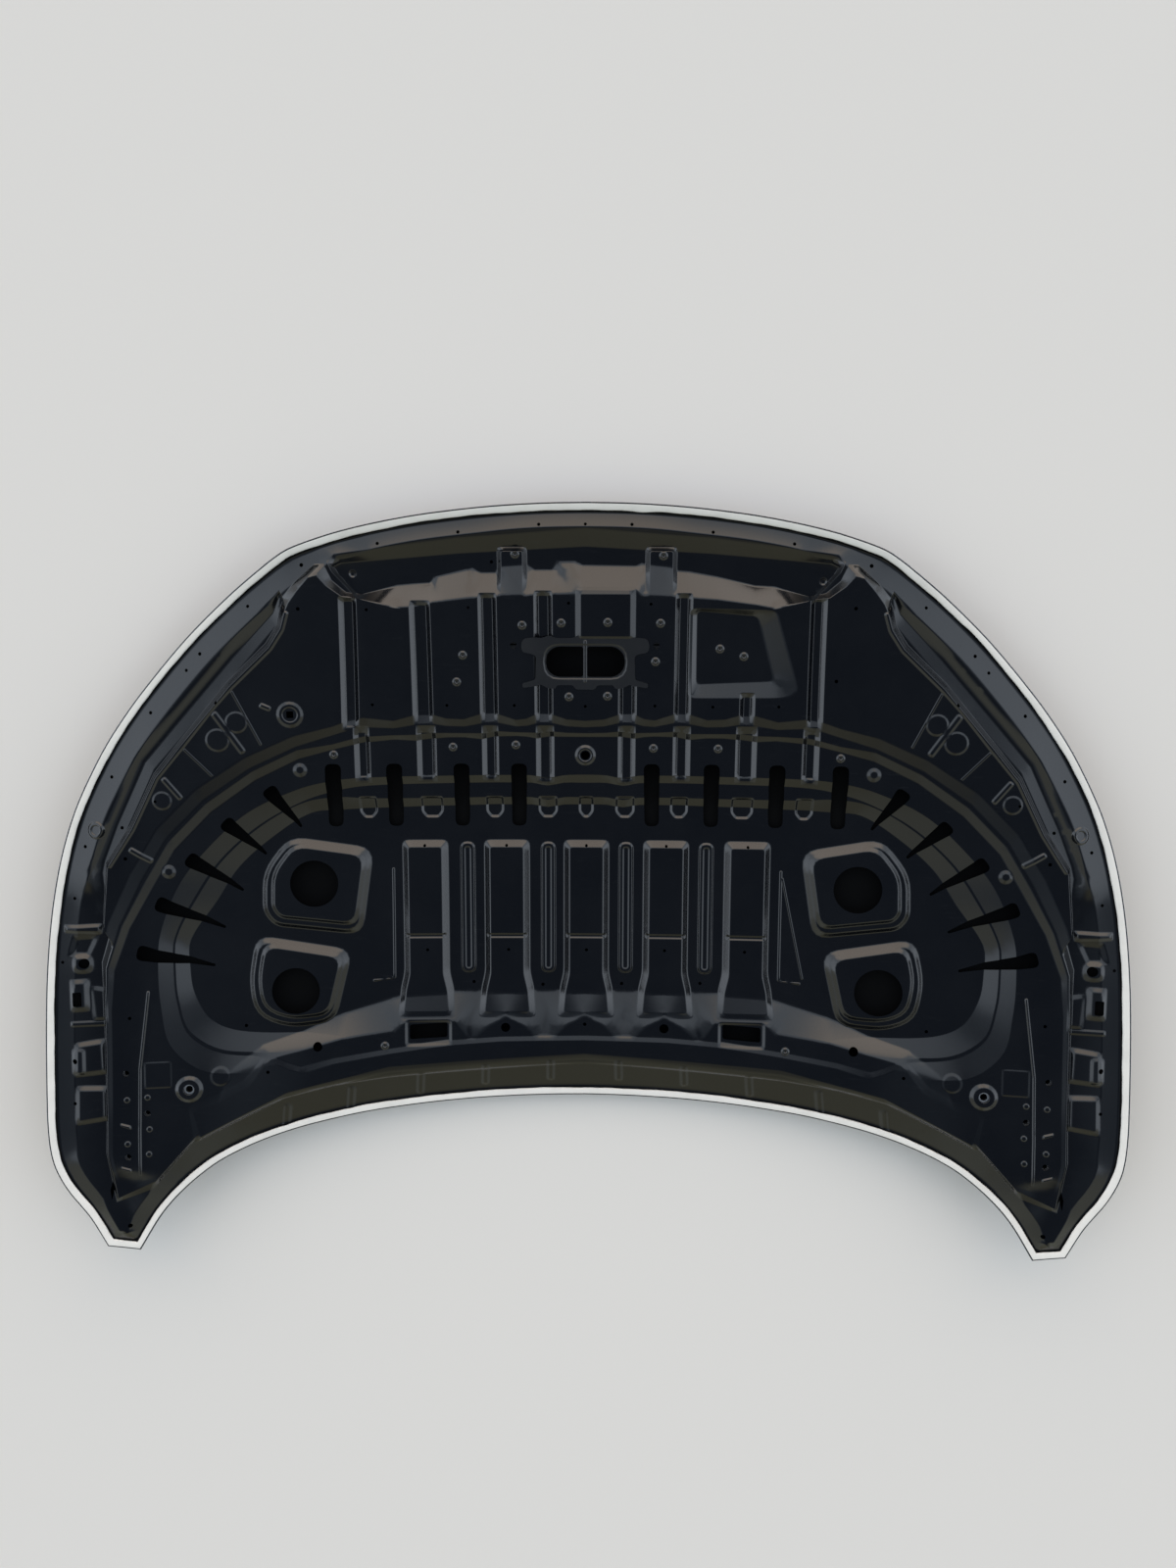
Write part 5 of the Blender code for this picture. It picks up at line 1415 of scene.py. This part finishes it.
@dataclass(frozen=True)
class Studio:
    """The camera, the floor and the light.

    Attributes:
        lens: focal length in millimetres.
        sensor: width of the film in millimetres.
        eye: the camera's place in metres.
        right: the picture's right-hand direction.
        up: the picture's upward direction.
        back: the direction from the object to the camera.
        floor_size: width of the floor in metres.
        floor_colour: its colour.
        backdrop: what the camera sees past the floor.
        sky_gain: strength of the sky, by which its colours are divided.
        bands: colours of the sky from rear to nose.
        flanks: colours of the sky from the middle to either side.
        haze: what is added to both, from the middle to either side.
    """

    lens: float = 27.045
    sensor: float = 36.0
    eye: tuple[float, float, float] = (0.034257, 0.400718, 1.624681)
    right: tuple[float, float, float] = (0.99981, 0.0021, -0.019404)
    up: tuple[float, float, float] = (-0.005182, 0.987076, -0.160169)
    back: tuple[float, float, float] = (0.018817, 0.160239, 0.986899)
    floor_size: float = 40.0
    floor_colour: Colour = (0.665, 0.645, 0.62)
    backdrop: Colour = (0.70, 0.70, 0.68)
    sky_gain: float = 5.0
    bands: Stops = ((-1.0, (0.50, 0.485, 0.34)), (-0.52, (0.40, 0.385, 0.28)), (-0.42, (0.075, 0.092, 0.125)),
                    (0.13, (0.075, 0.092, 0.125)), (0.22, (0.82, 0.92, 1.05)), (0.50, (0.95, 1.04, 1.15)),
                    (0.62, (2.15, 1.88, 1.62)), (1.0, (2.45, 2.12, 1.85)))
    flanks: Stops = ((0.5, (0.82, 0.92, 1.05)), (1.0, (1.60, 1.74, 1.93)))
    haze: Stops = ((0.07, (0.0, 0.0, 0.0)), (0.17, (0.12, 0.145, 0.165)), (0.3, (0.19, 0.22, 0.25)))

    def place_camera(self) -> None:
        """Sets the camera that took the photograph."""
        data = bpy.data.cameras.new("view")
        data.sensor_fit = "AUTO"
        data.sensor_width = self.sensor
        data.lens = self.lens
        data.clip_start = 0.01
        item = bpy.data.objects.new("view", data)
        bpy.context.scene.collection.objects.link(item)
        turn = Matrix((self.right, self.up, self.back)).transposed().to_quaternion().to_matrix().to_4x4()
        item.matrix_world = Matrix.Translation(self.eye) @ turn
        bpy.context.scene.camera = item

    def lay_floor(self) -> None:
        """A wide pale floor that can't be seen from below."""
        bm = bmesh.new()
        bmesh.ops.create_grid(bm, x_segments=1, y_segments=1, size=self.floor_size / 2)
        mesh = bpy.data.meshes.new("floor")
        bm.to_mesh(mesh)
        bm.free()
        item = bpy.data.objects.new("floor", mesh)
        bpy.context.scene.collection.objects.link(item)
        material = bpy.data.materials.new("pale_floor")
        material.use_nodes = True
        nodes, links = material.node_tree.nodes, material.node_tree.links
        shader = nodes["Principled BSDF"]
        shader.inputs["Base Color"].default_value = (*self.floor_colour, 1.0)
        shader.inputs["Roughness"].default_value = 0.9
        shader.inputs["Specular IOR Level"].default_value = 0.1
        clear = nodes.new("ShaderNodeBsdfTransparent")
        side = nodes.new("ShaderNodeNewGeometry")
        choice = nodes.new("ShaderNodeMixShader")
        links.new(side.outputs["Backfacing"], choice.inputs["Fac"])
        links.new(shader.outputs["BSDF"], choice.inputs[1])
        links.new(clear.outputs["BSDF"], choice.inputs[2])
        links.new(choice.outputs["Shader"], nodes["Material Output"].inputs["Surface"])
        mesh.materials.append(material)

    def light(self) -> None:
        """A dim ceiling with a warm bright band towards the nose, a cool one below it and an olive one behind."""
        world = bpy.data.worlds.new("studio")
        bpy.context.scene.world = world
        world.use_nodes = True
        tree = world.node_tree
        nodes, links = tree.nodes, tree.links
        nodes.clear()
        place = nodes.new("ShaderNodeTexCoord")
        parts = nodes.new("ShaderNodeSeparateXYZ")
        links.new(place.outputs["Generated"], parts.inputs["Vector"])
        across = self.worked(tree, "ABSOLUTE", parts.outputs["X"])
        beyond = self.ranged(tree, across, (0.3, 1.0), (0.0, 0.35))
        turned = self.worked(tree, "SUBTRACT", parts.outputs["Y"], beyond)
        bands = self.ramped(tree, self.ranged(tree, turned, (-1.0, 1.0), (0.0, 1.0)),
                            [((y + 1) / 2, colour) for y, colour in self.bands])
        flank = self.ranged(tree, across, (0.42, 0.50), (0.0, 1.0), smooth=True)
        behind = self.ranged(tree, parts.outputs["Y"], (-0.42, -0.25), (0.0, 1.0), smooth=True)
        ahead = self.ranged(tree, parts.outputs["Y"], (0.62, 0.45), (0.0, 1.0), smooth=True)
        share = self.worked(tree, "MULTIPLY", flank, self.worked(tree, "MULTIPLY", behind, ahead))
        mix = nodes.new("ShaderNodeMix")
        mix.data_type = "RGBA"
        links.new(share, mix.inputs["Factor"])
        links.new(bands, mix.inputs["A"])
        links.new(self.ramped(tree, across, self.flanks), mix.inputs["B"])
        total = nodes.new("ShaderNodeMix")
        total.data_type = "RGBA"
        total.blend_type = "ADD"
        total.inputs["Factor"].default_value = 1.0
        links.new(mix.outputs["Result"], total.inputs["A"])
        links.new(self.ramped(tree, across, self.haze), total.inputs["B"])
        sky = nodes.new("ShaderNodeBackground")
        sky.inputs["Strength"].default_value = self.sky_gain
        links.new(total.outputs["Result"], sky.inputs["Color"])
        seen = nodes.new("ShaderNodeBackground")
        seen.inputs["Color"].default_value = (*self.backdrop, 1.0)
        path = nodes.new("ShaderNodeLightPath")
        choice = nodes.new("ShaderNodeMixShader")
        links.new(path.outputs["Is Camera Ray"], choice.inputs["Fac"])
        links.new(sky.outputs["Background"], choice.inputs[1])
        links.new(seen.outputs["Background"], choice.inputs[2])
        out = nodes.new("ShaderNodeOutputWorld")
        links.new(choice.outputs["Shader"], out.inputs["Surface"])

    @staticmethod
    def worked(tree: bpy.types.NodeTree, operation: str, first: bpy.types.NodeSocket,
               second: bpy.types.NodeSocket | None = None) -> bpy.types.NodeSocket:
        """Works out one or two values.

        Args:
            tree: the node tree.
            operation: the Math node's operation.
            first: the first value.
            second: the second value, where the operation takes one.

        Returns:
            The result's socket.
        """
        node = tree.nodes.new("ShaderNodeMath")
        node.operation = operation
        tree.links.new(first, node.inputs[0])
        if second is not None:
            tree.links.new(second, node.inputs[1])
        return node.outputs["Value"]

    @staticmethod
    def ranged(tree: bpy.types.NodeTree, value: bpy.types.NodeSocket, source: tuple[float, float],
               target: tuple[float, float], smooth: bool = False) -> bpy.types.NodeSocket:
        """Maps a value from one range to another.

        Args:
            tree: the node tree.
            value: the value.
            source: the range that it is read in.
            target: the range that it is put in.
            smooth: whether it turns gently at both ends.

        Returns:
            The result's socket.
        """
        node = tree.nodes.new("ShaderNodeMapRange")
        if smooth:
            node.interpolation_type = "SMOOTHSTEP"
        for label, number in zip(("From Min", "From Max", "To Min", "To Max"), (*source, *target)):
            node.inputs[label].default_value = number
        tree.links.new(value, node.inputs["Value"])
        return node.outputs["Result"]

    def ramped(self, tree: bpy.types.NodeTree, value: bpy.types.NodeSocket, stops: Stops) -> bpy.types.NodeSocket:
        """Turns a value into a colour of the sky.

        Args:
            tree: the node tree.
            value: the value.
            stops: each stop's position and colour, divided here by the sky's gain.

        Returns:
            The colour's socket.
        """
        node = tree.nodes.new("ShaderNodeValToRGB")
        elements = node.color_ramp.elements
        while len(elements) < len(stops):
            elements.new(0.5)
        for i, (position, colour) in enumerate(stops):
            elements[i].position = position
            elements[i].color = (*(c / self.sky_gain for c in colour), 1.0)
        tree.links.new(value, node.inputs["Fac"])
        return node.outputs["Color"]

    def set_up(self) -> None:
        """Camera, floor, light and view settings."""
        self.place_camera()
        self.lay_floor()
        self.light()
        bpy.context.scene.view_settings.view_transform = "Standard"


def dress(piece: bpy.types.Object, material: bpy.types.Material, node: str) -> None:
    """Gives a finer piece its finish and its place in the frame.

    Args:
        piece: the piece.
        material: its finish.
        node: the CAD node that it stands for.
    """
    piece.data.materials.append(material)
    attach(piece, ROOT)
    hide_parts(node)


def finish_hidden(effects: Effects) -> None:
    """Gives the CAD's hidden plates, nuts and pads their finishes."""
    slots = {entry["node"]: entry["material_slot"] for entry in frame["record"]["subparts"]}
    made = {name: finish.made(effects) for name, finish in HIDDEN_FINISHES.items()}
    for node, name in slots.items():
        if name in made:
            mesh = frame["nodes"][node].data
            mesh.materials.clear()
            mesh.materials.append(made[name])
            LOG.info("%s: %s", node, name)


def main() -> None:
    """Builds the finer pieces, their finishes and the studio."""
    logging.basicConfig(level=logging.INFO)
    effects = make_effects()
    panel = InnerPanel()
    hem = Hem()
    # The dark matte coat covers the skin's inner face and paints the shadow line along the panel's rim.
    dark = CAVITY_COAT_AND_PAINTED_SHADE.made(effects)
    skin = hem.build_skin()
    dress(skin, SKIN_PAINT.made(effects), "outer_skin")
    skin.data.materials.append(dark)
    pressing = panel.build()
    dress(pressing, PANEL_PAINT.made(effects), "inner_panel")
    pressing.data.materials.append(dark)
    dress(hem.build_sealer(), SEALER.made(effects), "hem_sealer")
    dress(StrikerPlate().build(panel), PLATE_PAINT.made(effects), "striker_ring")
    finish_hidden(effects)
    Studio().set_up()


if __name__ == "__main__":
    main()
